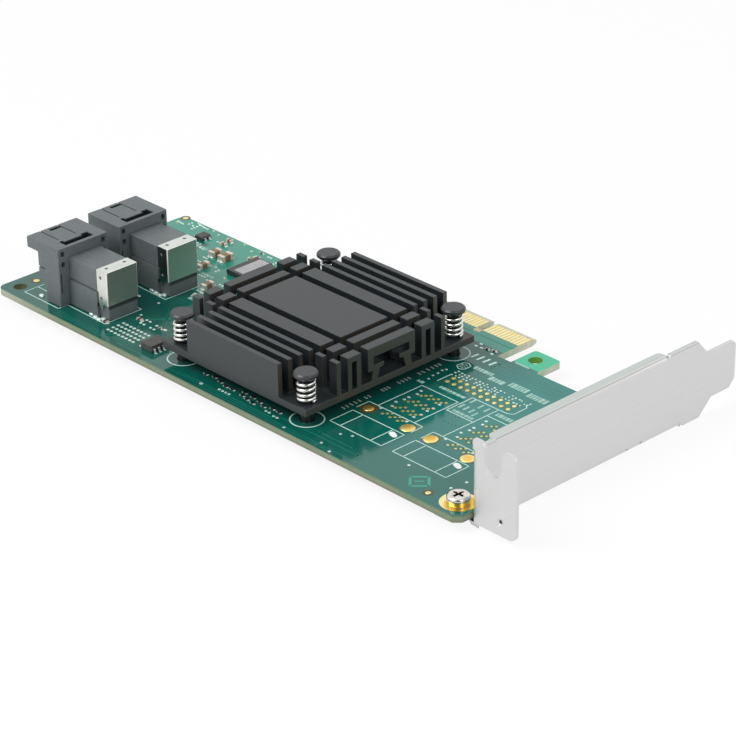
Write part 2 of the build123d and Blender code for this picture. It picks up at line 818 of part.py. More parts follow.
def bracket():
    """The whole folded sheet: plate, tab, lips and ears."""
    y = from_edge
    near_end = ear_edge("near", 1) + ear_lip_gap
    far_start = ear_edge("far", -1) - ear_lip_gap
    far_end = ear_edge("far", 1) + ear_lip_gap
    pieces = [bracket_plate(), fold_tab(), ear("near"), ear("far")]
    pieces.append(lip(bracket_high, -1, y(lip_start), y(lip_end_high)))
    pieces.append(lip(bracket_low, 1, near_end, far_start))
    pieces.append(lip(bracket_low, 1, far_end, y(lip_end_low)))
    root = bracket_low + lip_root
    for y0, y1 in ((ear_edge("near", 1), near_end), (far_start, ear_edge("far", -1)),
                   (ear_edge("far", 1), far_end)):
        pieces.append(block(sheet_back, bracket_face, y0, y1, root - sheet, root))
    return joined(pieces)


def bracket_screw(y):
    """A pan-head screw with a cross recess, down through the board into an ear."""
    seat = screw_pad_thick
    top = seat + screw_head_high
    head = post(0, 0, screw_head_r, seat, top)
    head = fillet(head.edges().sort_by(Axis.Z)[-1], screw_head_edge_r)
    screw = head + post(0, 0, screw_r, -screw_reach, seat)
    for turn in (0, 90):
        arm = extrude(Pos(0, 0, top) * Rectangle(cross_length, cross_width), amount=-cross_deep, taper=12)
        screw = screw - Rot(0, 0, turn) * arm
    return Pos(ear_screw_x, from_edge(y), 0) * screw


def flat_ring(x, y, outer, inner, thick):
    """A flat plated ring on the board."""
    return post(x, y, outer, 0, thick) - post(x, y, inner, -thick, 2 * thick)


def screw_pads():
    """The plated rings under both screw heads."""
    hole = screw_r + screw_hole_clear
    return [flat_ring(ear_screw_x, from_edge(y), screw_pad_r, hole, screw_pad_thick)
            for y in ear_screw_ys.values()]


def plated_pads():
    """The round plated rings of the parts left off this board."""
    return [flat_ring(x, from_edge(y), radius, radius * round_pad_hole_share, round_pad_thick)
            for x, y, radius in round_pads.values()]


def chip_body(size):
    """A moulded chip body whose sides slope out to its middle."""
    x, y, length, width, high = size
    section = outline([
        (-length / 2 + chip_side_slope, chip_stand),
        (length / 2 - chip_side_slope, chip_stand),
        (length / 2, (high + chip_stand) / 2),
        (length / 2 - chip_side_slope, high),
        (-length / 2 + chip_side_slope, high),
        (-length / 2, (high + chip_stand) / 2),
    ])
    centre = from_edge(y)
    return Pos(x, 0, 0) * along_y(section, centre - width / 2, centre + width / 2)


def chip_leads(size, count):
    """The bent leads along both long sides of a chip."""
    x, y, length, width, high = size
    middle = (high + chip_stand) / 2
    leads = []
    for side in (-1, 1):
        start = side * length / 2
        bent = start + side * chip_lead_reach / 3
        end = start + side * chip_lead_reach
        t = chip_lead_thick
        section = outline([
            (start, middle + t / 2),
            (bent + side * t / 2, middle + t / 2),
            (bent + side * t, t),
            (end, t),
            (end, 0),
            (bent, 0),
            (bent - side * t / 2, middle - t / 2),
            (start + side * t / 4, middle - t / 2),
        ])
        for step in range(count):
            lead_y = from_edge(y) + (step - (count - 1) / 2) * chip_lead_pitch
            half = chip_lead_width / 2
            leads.append(Pos(x, 0, 0) * along_y(section, lead_y - half, lead_y + half))
    return leads


def end_capped(size):
    """A chip component: a ceramic body with a slightly larger metal band at each end of its long side."""
    x, y, length, width, high = size
    long_half = max(length, width) / 2
    short_half = min(length, width) / 2
    band = 2 * long_half * end_band
    proud = end_band_proud
    body = block(-long_half, long_half, -short_half + proud, short_half - proud, proud, high - proud)
    for side in (-1, 1):
        end = side * long_half
        body = body + block(end, end - side * band, -short_half, short_half, 0, high)
    turn = 90 if width > length else 0
    return Pos(x, from_edge(y), 0) * Rot(0, 0, turn) * body


os.makedirs("parts", exist_ok=True)
write("circuit_board", circuit_board())
write("edge_contacts_top", edge_contacts(0, contact_thick))
write("edge_contacts_bottom", edge_contacts(board_bottom - contact_thick, board_bottom))
write("processor_substrate", chip_substrate())
write("processor_lid", chip_lid())
write("thermal_pad", thermal_pad())
write("heatsink", heatsink())
for name, (pin_x, pin_y) in pin_places().items():
    write(f"push_pin_{name}", push_pin(pin_x, pin_y))
    write(f"pin_spring_{name}", pin_spring(pin_x, pin_y))
for name, socket_y in socket_ys.items():
    write(f"socket_{name}_shell", socket_shell(from_edge(socket_y)))
    write(f"socket_{name}_wafer_stack", wafer_stack(from_edge(socket_y)))
    write(f"socket_{name}_contacts", stack_contacts(from_edge(socket_y)))
    write(f"socket_{name}_cap", stack_cap(from_edge(socket_y)))
    write(f"socket_{name}_pin_tails", socket_tails(from_edge(socket_y)))
write("bracket", bracket())
for name, screw_y in ear_screw_ys.items():
    write(f"bracket_screw_{name}", bracket_screw(screw_y))
write("screw_pads", screw_pads())
write("plated_pads", plated_pads())
write("regulator_chip", chip_body(regulator))
write("memory_chip", chip_body(memory))
write("logic_chip", chip_body(logic))
write("memory_chip_leads", chip_leads(memory, 4))
write("logic_chip_leads", chip_leads(logic, 2))
write("capacitors", [end_capped(size) for size in capacitors.values()])
write("resistors", [end_capped(size) for size in resistors.values()])
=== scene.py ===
import json
import math
import random

import bpy
from mathutils import Matrix, Vector

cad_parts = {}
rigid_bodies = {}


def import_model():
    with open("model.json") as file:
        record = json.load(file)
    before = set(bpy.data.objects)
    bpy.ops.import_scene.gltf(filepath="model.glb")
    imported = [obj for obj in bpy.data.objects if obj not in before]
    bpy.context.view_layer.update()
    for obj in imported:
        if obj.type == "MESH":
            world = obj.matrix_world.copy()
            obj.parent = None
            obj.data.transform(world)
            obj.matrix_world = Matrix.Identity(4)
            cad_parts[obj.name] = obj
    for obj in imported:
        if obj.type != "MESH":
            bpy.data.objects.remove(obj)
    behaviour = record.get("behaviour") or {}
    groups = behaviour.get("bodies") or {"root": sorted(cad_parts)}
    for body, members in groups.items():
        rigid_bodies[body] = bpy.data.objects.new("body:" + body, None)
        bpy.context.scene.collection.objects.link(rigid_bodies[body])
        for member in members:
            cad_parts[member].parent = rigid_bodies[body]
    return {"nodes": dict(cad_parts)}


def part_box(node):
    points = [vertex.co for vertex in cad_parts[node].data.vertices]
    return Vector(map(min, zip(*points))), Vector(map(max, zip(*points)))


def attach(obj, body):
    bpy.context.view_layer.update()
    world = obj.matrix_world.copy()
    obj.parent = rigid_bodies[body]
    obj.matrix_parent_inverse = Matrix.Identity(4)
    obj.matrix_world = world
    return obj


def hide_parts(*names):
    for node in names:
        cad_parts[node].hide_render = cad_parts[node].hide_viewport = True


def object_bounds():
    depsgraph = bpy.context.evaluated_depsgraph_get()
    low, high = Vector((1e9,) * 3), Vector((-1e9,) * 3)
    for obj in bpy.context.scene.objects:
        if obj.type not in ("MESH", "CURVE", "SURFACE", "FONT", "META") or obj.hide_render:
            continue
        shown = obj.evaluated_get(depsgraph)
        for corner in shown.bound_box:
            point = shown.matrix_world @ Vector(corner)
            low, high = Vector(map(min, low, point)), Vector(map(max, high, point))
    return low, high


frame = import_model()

card_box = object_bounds()
mm = 0.001

# Camera: a long lens above the bracket corner, at the angle and distance of the photograph.
# Its three angles and its place come from the card's own known sizes.
scene_objects = bpy.context.scene.collection.objects
camera_place = Vector((411.01, -423.73, 290.60)) * mm
camera_right = Vector((0.68747, 0.72608, -0.01360))
camera_up = Vector((-0.32271, 0.32222, 0.88996))
camera_data = bpy.data.cameras.new("product_camera")
camera_data.lens = 143.142
camera_data.sensor_width = 36.0
camera_data.clip_start = 0.01
camera_data.clip_end = 20.0
camera = bpy.data.objects.new("product_camera", camera_data)
camera_back = camera_right.cross(camera_up).normalized()
camera_up = camera_back.cross(camera_right).normalized()
turn = Matrix((camera_right, camera_up, camera_back)).transposed()
camera.matrix_world = Matrix.Translation(camera_place) @ turn.to_4x4()
scene_objects.link(camera)
bpy.context.scene.camera = camera
bpy.context.scene.view_settings.view_transform = "Standard"

# Studio: a white table top that runs on into a white room, seen as plain white by eye and by gloss.
# The table keeps a little of the card's shadow.
table_low = card_box[0].z
table_half = 3.0
table_glow = 0.88
room_power = 0.52
white = (1.0, 1.0, 1.0, 1.0)
table_corners = ((-1, -1), (1, -1), (1, 1), (-1, 1))
table_data = bpy.data.meshes.new("table_top")
table_data.from_pydata([(x * table_half, y * table_half, table_low) for x, y in table_corners],
                       [], [(0, 1, 2, 3)])
table = bpy.data.objects.new("table_top", table_data)
scene_objects.link(table)


def paint(name):
    """A new surface finish, with its node tree and its main shader."""
    finish = bpy.data.materials.new(name)
    finish.use_nodes = True
    return finish, finish.node_tree, finish.node_tree.nodes["Principled BSDF"]


def dial(node, **values):
    """Sets a node's own sockets by name, with a low line for a space."""
    for name, value in values.items():
        node.inputs[name.replace("_", " ")].default_value = value


def number(tree, first, operation, second=0.0):
    """A sum on two numbers, or a test that gives one where it holds and nought elsewhere."""
    node = tree.nodes.new("ShaderNodeMath")
    node.operation = operation
    for socket, value in zip(node.inputs, (first, second)):
        if isinstance(value, (int, float)):
            socket.default_value = value
        else:
            tree.links.new(value, socket)
    return node.outputs[0]


def spread(tree, value, low, high, start=0.0, end=1.0):
    """A value from low to high, stretched so that it runs from start to end."""
    node = tree.nodes.new("ShaderNodeMapRange")
    dial(node, From_Min=low, From_Max=high, To_Min=start, To_Max=end)
    tree.links.new(value, node.inputs["Value"])
    return node.outputs["Result"]


def shader_mix(tree, share, first, second, out):
    """One light or surface into another by a share, as what the eye sees."""
    mix = tree.nodes.new("ShaderNodeMixShader")
    for socket, value in zip(mix.inputs, (share, first.outputs[0], second.outputs[0])):
        tree.links.new(value, socket)
    tree.links.new(mix.outputs[0], out.inputs["Surface"])


table_finish, tree, shader = paint("white_table")
dial(shader, Base_Color=(0.93, 0.93, 0.93, 1.0), Roughness=0.9)
glow = tree.nodes.new("ShaderNodeEmission")
dial(glow, Color=white, Strength=1.0)
path = tree.nodes.new("ShaderNodeLightPath").outputs
seen = number(tree, path["Is Camera Ray"], "MAXIMUM", path["Is Glossy Ray"])
shader_mix(tree, number(tree, seen, "MULTIPLY", table_glow), shader, glow, tree.nodes["Material Output"])
table_data.materials.append(table_finish)

room = bpy.data.worlds.new("white_room")
bpy.context.scene.world = room
room.use_nodes = True
tree = room.node_tree
for node in list(tree.nodes):
    tree.nodes.remove(node)
room_light = tree.nodes.new("ShaderNodeBackground")
dial(room_light, Color=white, Strength=room_power)
room_white = tree.nodes.new("ShaderNodeBackground")
dial(room_white, Color=white)
path = tree.nodes.new("ShaderNodeLightPath").outputs
seen = number(tree, path["Is Camera Ray"], "MAXIMUM", path["Is Glossy Ray"])
seen = number(tree, seen, "MAXIMUM", path["Is Transmission Ray"])
shader_mix(tree, seen, room_light, room_white, tree.nodes.new("ShaderNodeOutputWorld"))
# The corner where the camera stands is dark, and only round bright metal shows it.
outward = tree.nodes.new("ShaderNodeTexCoord")
to_corner = tree.nodes.new("ShaderNodeVectorMath")
to_corner.operation = "DOT_PRODUCT"
to_corner.inputs[1].default_value = camera_back
tree.links.new(outward.outputs["Generated"], to_corner.inputs[0])
corner = spread(tree, to_corner.outputs["Value"], 0.80, 0.93, 0.0, 0.93)
in_gloss = number(tree, corner, "MULTIPLY", path["Is Glossy Ray"])
tree.links.new(number(tree, 1.0, "SUBTRACT", in_gloss), room_white.inputs["Strength"])

# Lamps: one broad soft box high over the near left side, and a weaker one from the right.
# Each is a square panel that is turned to the middle of the card.
soft_boxes = {
    "key_soft_box": ((-0.35, -0.75, 0.95), 0.70, 9.0),
    "fill_soft_box": ((0.95, -0.15, 0.70), 0.70, 3.5),
}
card_middle = Vector((-0.015, -0.035, 0.0))
for name, (place, side, power) in soft_boxes.items():
    lamp_data = bpy.data.lights.new(name, "AREA")
    lamp_data.size = side
    lamp_data.energy = power
    lamp = bpy.data.objects.new(name, lamp_data)
    lamp.location = place
    lamp.rotation_euler = (card_middle - Vector(place)).to_track_quat("-Z", "Y").to_euler()
    scene_objects.link(lamp)

# Circuit board: glass laminate under a glossy green solder mask, cut to shape, with bare cut edges.
# Masked copper shows through as lighter green, and the tongue is bare laminate between its contacts.
board = frame["nodes"]["circuit_board"]
board_low, board_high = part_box("circuit_board")
near_edge = board_low.y
tongue_bare_from = -6.9 * mm
tongue_right = 12.5 * mm
mask_rough = 0.10
mask_index = 1.52
flat_from = 0.97


def from_edge(y):
    """A place in millimetres in from the board's near edge, as a Y value in metres."""
    return near_edge + y * mm


def wear(tree, scale, most=1.0, detail=4.0):
    """Cloudy noise in the card's own space, from nought to its most."""
    place = tree.nodes.new("ShaderNodeTexCoord")
    noise = tree.nodes.new("ShaderNodeTexNoise")
    dial(noise, Scale=scale, Detail=detail)
    tree.links.new(place.outputs["Object"], noise.inputs["Vector"])
    return spread(tree, noise.outputs["Fac"], 0.3, 0.7, 0.0, most)


def blend(tree, amount, first, second):
    """One colour into another by an amount."""
    both = tree.nodes.new("ShaderNodeMix")
    both.data_type = "RGBA"
    tree.links.new(amount, both.inputs["Factor"])
    for socket, colour in (("A", first), ("B", second)):
        target = [s for s in both.inputs if s.name == socket and s.type == "RGBA"][0]
        if isinstance(colour, tuple):
            target.default_value = colour + (1.0,)
        else:
            tree.links.new(colour, target)
    return [s for s in both.outputs if s.type == "RGBA"][0]


def bump(tree, height, strength, distance):
    """Fine surface relief from a height."""
    relief = tree.nodes.new("ShaderNodeBump")
    dial(relief, Strength=strength, Distance=distance)
    tree.links.new(height, relief.inputs["Height"])
    tree.links.new(relief.outputs["Normal"], tree.nodes["Principled BSDF"].inputs["Normal"])


def split_up(tree, source, output):
    """The X, Y and Z of a place or a direction."""
    split = tree.nodes.new("ShaderNodeSeparateXYZ")
    tree.links.new(tree.nodes.new(source).outputs[output], split.inputs[0])
    return split.outputs


def place_on(tree):
    """Where a point of the surface is, in the card's own space."""
    return split_up(tree, "ShaderNodeTexCoord", "Object")


def facing(tree):
    """Which way the surface faces."""
    return split_up(tree, "ShaderNodeNewGeometry", "True Normal")


def above(tree, value, limit):
    """One where a value is over a limit."""
    return number(tree, value, "GREATER_THAN", limit)


def below(tree, value, limit):
    """One where a value is under a limit."""
    return number(tree, value, "LESS_THAN", limit)


def joined(tree, operation, *shares):
    """Several shares taken together, one after the other."""
    total = shares[0]
    for share in shares[1:]:
        total = number(tree, total, operation, share)
    return total


def inside(tree, where, left, right, near, far):
    """One inside a rectangle of the board, given in millimetres, and nought outside it."""
    return joined(tree, "MULTIPLY", above(tree, where["X"], left * mm), below(tree, where["X"], right * mm),
                  above(tree, where["Y"], from_edge(near)), below(tree, where["Y"], from_edge(far)))


def soft_inside(tree, where, low, high, blur):
    """One inside a box seen from above, fading to nought over its edge."""
    return joined(tree, "MULTIPLY", spread(tree, where["X"], low.x, low.x + blur),
                  spread(tree, where["X"], high.x, high.x - blur),
                  spread(tree, where["Y"], low.y, low.y + blur),
                  spread(tree, where["Y"], high.y, high.y - blur))


def board_paint():
    """Solder mask on the flat faces, laminate on the cut edges and on the bare part of the tongue."""
    finish, tree, shader = paint("board_mask_and_laminate")
    where = place_on(tree)
    mask = blend(tree, wear(tree, 60.0), (0.003, 0.093, 0.070), (0.005, 0.113, 0.088))
    # Painted sheen: the mask is painted lighter toward the bracket, and most of all in the far corner.
    toward = spread(tree, where["X"], 11.0 * mm, 27.0 * mm)
    away = spread(tree, where["Y"], from_edge(8.0), from_edge(32.0), 0.25)
    mask = blend(tree, number(tree, toward, "MULTIPLY", away), mask, (0.001, 0.200, 0.172))
    # Painted shadow: the mask is darker under the heat sink.
    sink_low, sink_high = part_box("heatsink")
    mask = blend(tree, soft_inside(tree, where, sink_low, sink_high, 1.0 * mm), mask, (0.011, 0.082, 0.069))
    # No copper plane lies under the far left field and the retention tab, so light comes through them.
    clear = joined(tree, "MAXIMUM", inside(tree, where, -77.0, -37.5, 31.0, 70.0),
                   inside(tree, where, -100.0, -77.0, 50.0, 70.0),
                   inside(tree, where, -50.0, 12.8, 58.4, 70.0))
    mask = blend(tree, clear, mask, (0.024, 0.275, 0.198))
    mask = blend(tree, inside(tree, where, 14.5, 30.0, 57.3, 75.0), mask, (0.030, 0.490, 0.280))
    # The cut edges are pale. The near one runs from green at the top through yellow to brown, with stains
    # from the cutter, and it is paler toward the left end. The wall of the tab's hole is yellow green.
    fibres = wear(tree, 900.0, detail=2.0)
    laminate = blend(tree, fibres, (0.52, 0.56, 0.43), (0.64, 0.68, 0.54))
    depth = spread(tree, where["Z"], board_high.z, board_low.z)
    cut = blend(tree, spread(tree, depth, 0.0, 0.38), (0.040, 0.190, 0.075), (0.245, 0.285, 0.180))
    cut = blend(tree, spread(tree, depth, 0.45, 1.0), cut, (0.165, 0.140, 0.110))
    cut = blend(tree, wear(tree, 1600.0, 0.35, 2.0), cut, (0.20, 0.24, 0.15))
    cut = blend(tree, wear(tree, 130.0, 0.55, 2.0), cut, (0.13, 0.19, 0.10))
    cut = blend(tree, spread(tree, where["X"], -72.0 * mm, -92.0 * mm, 0.0, 0.6), cut, (0.50, 0.50, 0.42))
    # Painted shade: the wall of the hole near the left end of the near edge is dark.
    cut = blend(tree, inside(tree, where, -96.0, -89.0, 1.0, 11.0), cut, (0.10, 0.11, 0.04))
    laminate = blend(tree, below(tree, where["Y"], from_edge(12.0)), laminate, cut)
    laminate = blend(tree, inside(tree, where, 17.3, 22.2, 58.2, 63.2), laminate, (0.140, 0.330, 0.045))
    # The bare faces of the tongue are browner than the edges.
    edge = below(tree, number(tree, facing(tree)["Z"], "ABSOLUTE"), flat_from)
    tongue = number(tree, above(tree, where["Y"], tongue_bare_from), "MULTIPLY",
                    below(tree, where["X"], tongue_right))
    bare = number(tree, edge, "MAXIMUM", tongue)
    dimmed = blend(tree, fibres, (0.62, 0.46, 0.28), (0.74, 0.58, 0.38))
    laminate = blend(tree, edge, dimmed, laminate)
    tree.links.new(blend(tree, bare, mask, laminate), shader.inputs["Base Color"])
    tree.links.new(spread(tree, bare, 0.0, 1.0, mask_rough, 0.55), shader.inputs["Roughness"])
    dial(shader, IOR=mask_index)
    bump(tree, wear(tree, 700.0), 0.05, 0.0001)
    return finish


def wear_finish(node, finish):
    """Puts one finish on a whole node."""
    node.data.materials.clear()
    node.data.materials.append(finish)


wear_finish(board, board_paint())
bpy.context.view_layer.update()

# Copper traces: thin runs of copper under the mask, which lifts a little over them and looks lighter.
# They run straight along the card, or slant at 45 degrees from the processor to the sockets and contacts.
trace_high = 0.012


def prism(points, low, high, solid):
    """Adds an upright solid over a flat outline to the lists of a mesh."""
    start = len(solid["points"])
    count = len(points)
    area = sum(points[i][0] * points[(i + 1) % count][1] - points[(i + 1) % count][0] * points[i][1]
               for i in range(count))
    if area < 0:
        points = points[::-1]
    solid["points"] += [(x, y, low) for x, y in points] + [(x, y, high) for x, y in points]
    solid["faces"].append([start + count + i for i in range(count)])
    solid["faces"].append([start + count - 1 - i for i in range(count)])
    for i in range(count):
        j = (i + 1) % count
        solid["faces"].append([start + i, start + j, start + count + j, start + count + i])


def slab(left, right, near, far, low, high, solid):
    """A block with square corners."""
    prism([(left, near), (right, near), (right, far), (left, far)], low, high, solid)


def new_solid():
    """Empty lists for a mesh, in millimetres measured from the board's near edge."""
    return {"points": [], "faces": []}


def piece_from(name, solid, finish):
    """A finished piece of the card, made from the lists of a mesh."""
    data = bpy.data.meshes.new(name)
    points = [(x * mm, from_edge(y), z * mm) for x, y, z in solid["points"]]
    data.from_pydata(points, [], solid["faces"])
    data.materials.append(finish)
    data.validate()
    piece = bpy.data.objects.new(name, data)
    scene_objects.link(piece)
    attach(piece, "root")
    return piece


def stroke(a, b, wide, low, high, solid):
    """A straight bar of ink, copper or solder from one point to another."""
    (ax, ay), (bx, by) = a, b
    length = math.hypot(bx - ax, by - ay)
    side_x, side_y = -(by - ay) / length * wide / 2, (bx - ax) / length * wide / 2
    prism([(ax + side_x, ay + side_y), (ax - side_x, ay - side_y),
           (bx - side_x, by - side_y), (bx + side_x, by + side_y)], low, high, solid)


def disc(x, y, radius, low, high, solid, steps=14):
    """A flat round spot."""
    prism([(x + radius * math.cos(2 * math.pi * i / steps), y + radius * math.sin(2 * math.pi * i / steps))
           for i in range(steps)], low, high, solid)


def ring(x, y, outer, wide, low, high, solid, steps=48):
    """A round line of ink, or a plated ring."""
    start = len(solid["points"])
    for z in (low, high):
        for radius in (outer, outer - wide):
            for step in range(steps):
                angle = 2 * math.pi * step / steps
                solid["points"].append((x + radius * math.cos(angle), y + radius * math.sin(angle), z))
    lo_out, lo_in, hi_out, hi_in = (start + steps * k for k in range(4))
    for i in range(steps):
        j = (i + 1) % steps
        solid["faces"].append([hi_out + i, hi_out + j, hi_in + j, hi_in + i])
        solid["faces"].append([lo_out + j, lo_out + i, lo_in + i, lo_in + j])
        solid["faces"].append([lo_out + i, lo_out + j, hi_out + j, hi_out + i])
        solid["faces"].append([lo_in + j, lo_in + i, hi_in + i, hi_in + j])


def mottled(name, first, second, scale, rough, metal=0.0):
    """A finish of one colour mottled with another, and the mottling itself."""
    finish, tree, shader = paint(name)
    clouds = wear(tree, scale)
    tree.links.new(blend(tree, clouds, first, second), shader.inputs["Base Color"])
    dial(shader, Roughness=rough, Metallic=metal)
    return finish, clouds


def trace_paint(name, first, second):
    """Mask over copper: the same gloss as the board, in a lighter green."""
    finish = mottled(name, first, second, 200.0, mask_rough)[0]
    dial(finish.node_tree.nodes["Principled BSDF"], IOR=mask_index)
    return finish


copper = new_solid()


def trace(points, wide=0.19):
    """One run of copper through its corner points, with a round spot at each end."""
    for a, b in zip(points, points[1:]):
        stroke(a, b, wide, 0.0, trace_high, copper)
    for x, y in (points[0], points[-1]):
        disc(x, y, wide * 1.25, 0.0, trace_high, copper, 8)


# Pairs that slant from the processor to the near socket, and their straight ends under it.
for lane in range(7):
    y = 12.6 + lane * 1.15
    trace([(-60.5 + 0.9 * lane, y - 1.6), (-58.7 + 0.9 * lane, y - 1.6), (-51.5, y + 5.6 - 0.9 * lane),
           (-40.5, y + 5.6 - 0.9 * lane)])
for lane in range(6):
    y = 24.5 + lane * 1.3
    trace([(-59.5, y), (-54.0, y), (-52.0, y - 2.0), (-39.8, y - 2.0)])
# Long faint runs parallel to the near edge, that end in steps before the bracket.
trace([(-31.0, 2.2), (-2.0, 2.2), (0.6, 3.7), (16.0, 3.7), (23.7, 3.7)], 0.34)
trace([(10.5, 5.1), (21.0, 5.1)], 0.34)
for lane, (left, right) in enumerate(((-52.0, 26.0), (-24.0, 18.0))):
    trace([(left, 1.5 - 0.7 * lane), (right, 1.5 - 0.7 * lane)], 0.24)
for lane in range(3):
    y = 1.0 + 0.7 * lane
    trace([(-74.0, y), (-57.0, y), (-55.6, y + 1.4), (-48.0, y + 1.4)])
# Runs along the far side, from the contacts' root to the bracket.
for y, wide in ((51.4, 0.34), (52.5, 0.30), (53.9, 0.42)):
    trace([(15.0, y), (36.0, y), (44.0, y + 1.0)], wide)
# A bundle that slants the other way, from the near socket down to the field of bare pads.
for lane in range(4):
    trace([(-57.4 + 0.8 * lane, 21.0 + 0.8 * lane), (-51.1 + 0.8 * lane, 14.7 + 0.8 * lane)], 0.17)
# Runs inside the empty outlines and between them.
for lane in range(3):
    y = 35.7 + 0.9 * lane
    trace([(11.2 + 0.3 * lane, y), (19.6, y), (20.8, y - 1.2)], 0.26)
for lane in range(5):
    trace([(22.4 + 1.0 * lane, 30.0 + 0.1 * lane), (25.6 + 1.0 * lane, 26.8 + 0.1 * lane)], 0.22)
piece_from("copper_traces", copper,
           trace_paint("mask_over_copper", (0.008, 0.150, 0.112), (0.016, 0.205, 0.155)))
# A square frame of copper under the mask, turned by 45 degrees, near the bracket corner.
frame_copper = new_solid()
stroke((39.5, 4.5), (40.9, 5.9), 0.45, 0.0, trace_high, frame_copper)
for a, b in (((37.5, 5.2), (40.2, 7.9)), ((40.2, 7.9), (42.9, 5.2)), ((42.9, 5.2), (40.2, 2.5)),
             ((40.2, 2.5), (37.5, 5.2))):
    stroke(a, b, 0.60, 0.0, trace_high, frame_copper)
piece_from("copper_square", frame_copper,
           trace_paint("mask_over_square", (0.014, 0.300, 0.200), (0.024, 0.360, 0.250)))

# Silkscreen: white ink printed on the mask, three hundredths of a millimetre thick.
# It outlines the parts that can be fitted here, rings the push pins, and lies thin in rows of small blocks.
ink_high = 0.03


def ink_paint(name, first, second):
    """White epoxy ink, matt, a little green where it is thin."""
    return mottled(name, first, second, 1500.0, 0.5)[0]


ink = new_solid()
label_ink = new_solid()
blobs = new_solid()
scatter = random.Random(7)


def ink_line(a, b, wide=0.22):
    """A printed line."""
    stroke(a, b, wide, 0.0, ink_high, ink)


def ink_path(*points):
    """A printed line through several points."""
    for a, b in zip(points, points[1:]):
        ink_line(a, b)


def label(x, y, length, high):
    """A plain row of small printed blocks."""
    place = 0.0
    while place < length:
        long = scatter.choice((0.55, 0.75, 1.10))
        stroke((x + place, y + high / 2), (x + place + long, y + high / 2), high, 0.0, ink_high, label_ink)
        place += long + 0.24


# Two latch outlines near the bracket, each with two bars across and a blob by its corner.
for left in (8.2, 27.2):
    right, low, top = left + 15.65, 10.05, 16.75
    ink_path((left, low), (right, low), (right, top), (left, top), (left, low))
    for bar in (left + 3.15, left + 12.35):
        ink_line((bar, low), (bar, top))
    for shift, radius, high in ((-0.62, 0.70, 0.05), (0.0, 0.74, 0.06), (0.60, 0.62, 0.07)):
        disc(left + 13.95 + shift, 15.15 - 0.4 * shift, radius, 0.0, high, blobs)
# Two body outlines behind them, with corner lines round the gold pads.
for left, right, far in ((10.45, 21.45, 35.0), (30.0, 41.1, 38.6)):
    ink_path((left - 2.7, 18.2), (left - 2.7, 21.9), (left + 13.6, 21.9), (left + 13.6, 18.5))
    ink_path((left, 21.9), (left, far))
    ink_path((right, 21.9), (right, 35.0), (left, 35.0))
# The outline of the connector field and the long line above its pads.
ink_path((29.9, 38.6), (22.2, 38.6), (22.2, 30.8), (29.9, 30.8))
ink_path((29.9, 38.6), (32.4, 38.7), (33.6, 39.4), (33.6, 43.4), (32.6, 44.3))
ink_path((11.2, 38.8), (11.2, 43.4))
# Rings round the four push pins.
pin_names = ("near_left", "near_right", "far_left", "far_right")
for name in pin_names:
    low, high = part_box("push_pin_" + name)
    ring((low.x + high.x) / 2 / mm, ((low.y + high.y) / 2 - near_edge) / mm, 3.85, 0.32, 0.0, ink_high, ink)
# Outlines of the two sockets' feet.
for name in ("a", "b"):
    low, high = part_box(f"socket_{name}_shell")
    middle = ((low.y + high.y) / 2 - near_edge) / mm
    near = middle - 7.8
    ink_path((-87.6, near + 5.6), (-87.6, near), (-75.1, near), (-74.9, near + 2.7), (-61.4, near + 2.5),
             (-61.4, middle + 5.4), (-64.0, middle + 5.4))
    ink_path((-87.6, near + 3.8), (-82.2, near + 3.8))
# The bar along the root of the retention tab, and four bars by the heat sink's far corner.
stroke((17.1, 57.0), (21.3, 57.0), 0.50, 0.0, ink_high, label_ink)
for x in (8.4, 10.2, 12.0, 13.9):
    ink_line((x, 52.0), (x + 0.2, 54.2), 0.55)
# Bars inside the small box of the second outline.
for x, y in ((23.1, 33.4), (24.6, 33.3), (26.3, 33.2), (26.3, 36.0), (28.3, 35.8), (23.4, 36.6),
             (27.8, 32.6)):
    stroke((x, y), (x, y + 1.9), 0.55, 0.0, ink_high, label_ink)
# Plain rows of blocks by the bracket and by the sockets.
for x, y, length, high in ((12.4, 48.5, 5.3, 1.3), (18.2, 47.1, 4.4, 1.6), (23.4, 47.9, 5.4, 1.9),
                           (29.6, 47.1, 4.8, 1.9), (13.6, 36.9, 7.0, 0.9), (23.2, 31.3, 5.6, 0.9),
                           (31.0, 36.2, 4.6, 1.3), (8.0, 35.6, 1.9, 0.9), (-66.4, 38.0, 3.2, 0.9),
                           (-58.4, 27.3, 3.4, 1.0), (-79.5, 47.2, 4.2, 1.0), (-88.6, 36.6, 6.0, 1.2),
                           (-52.6, 46.8, 5.0, 1.1), (-73.5, 39.0, 3.0, 1.0)):
    label(x, y, length, high)
# A small printed outline beside them, with specks of ink inside.
ink_path((9.0, 47.0), (9.2, 48.9), (10.2, 49.5), (11.6, 48.8), (11.5, 46.8), (10.4, 46.1), (9.0, 47.0))
for step in range(22):
    disc(scatter.uniform(9.5, 11.2), scatter.uniform(46.9, 48.7), 0.17, 0.0, ink_high, label_ink, 6)
for name, solid, finish in (
        ("silkscreen", ink, ink_paint("white_ink", (0.50, 0.76, 0.68), (0.70, 0.88, 0.83))),
        ("ink_blobs", blobs, ink_paint("thick_ink", (0.86, 0.93, 0.90), (0.94, 0.97, 0.96))),
        ("label_bars", label_ink, ink_paint("thin_ink", (0.22, 0.46, 0.39), (0.46, 0.68, 0.60)))):
    piece_from(name, solid, finish)

# Edge contacts: copper fingers with hard gold plate, 1 mm apart, on both faces of the tongue.
# The round pads, the connector holes and the via lattices carry the same gold, over a nickel layer.


def gold_paint(name, first, second, rough):
    """Hard gold plate, a little pale and finely brushed."""
    finish = mottled(name, first, second, 500.0, rough, 0.85)[0]
    bump(finish.node_tree, wear(finish.node_tree, 2500.0), 0.08, 0.00002)
    return finish


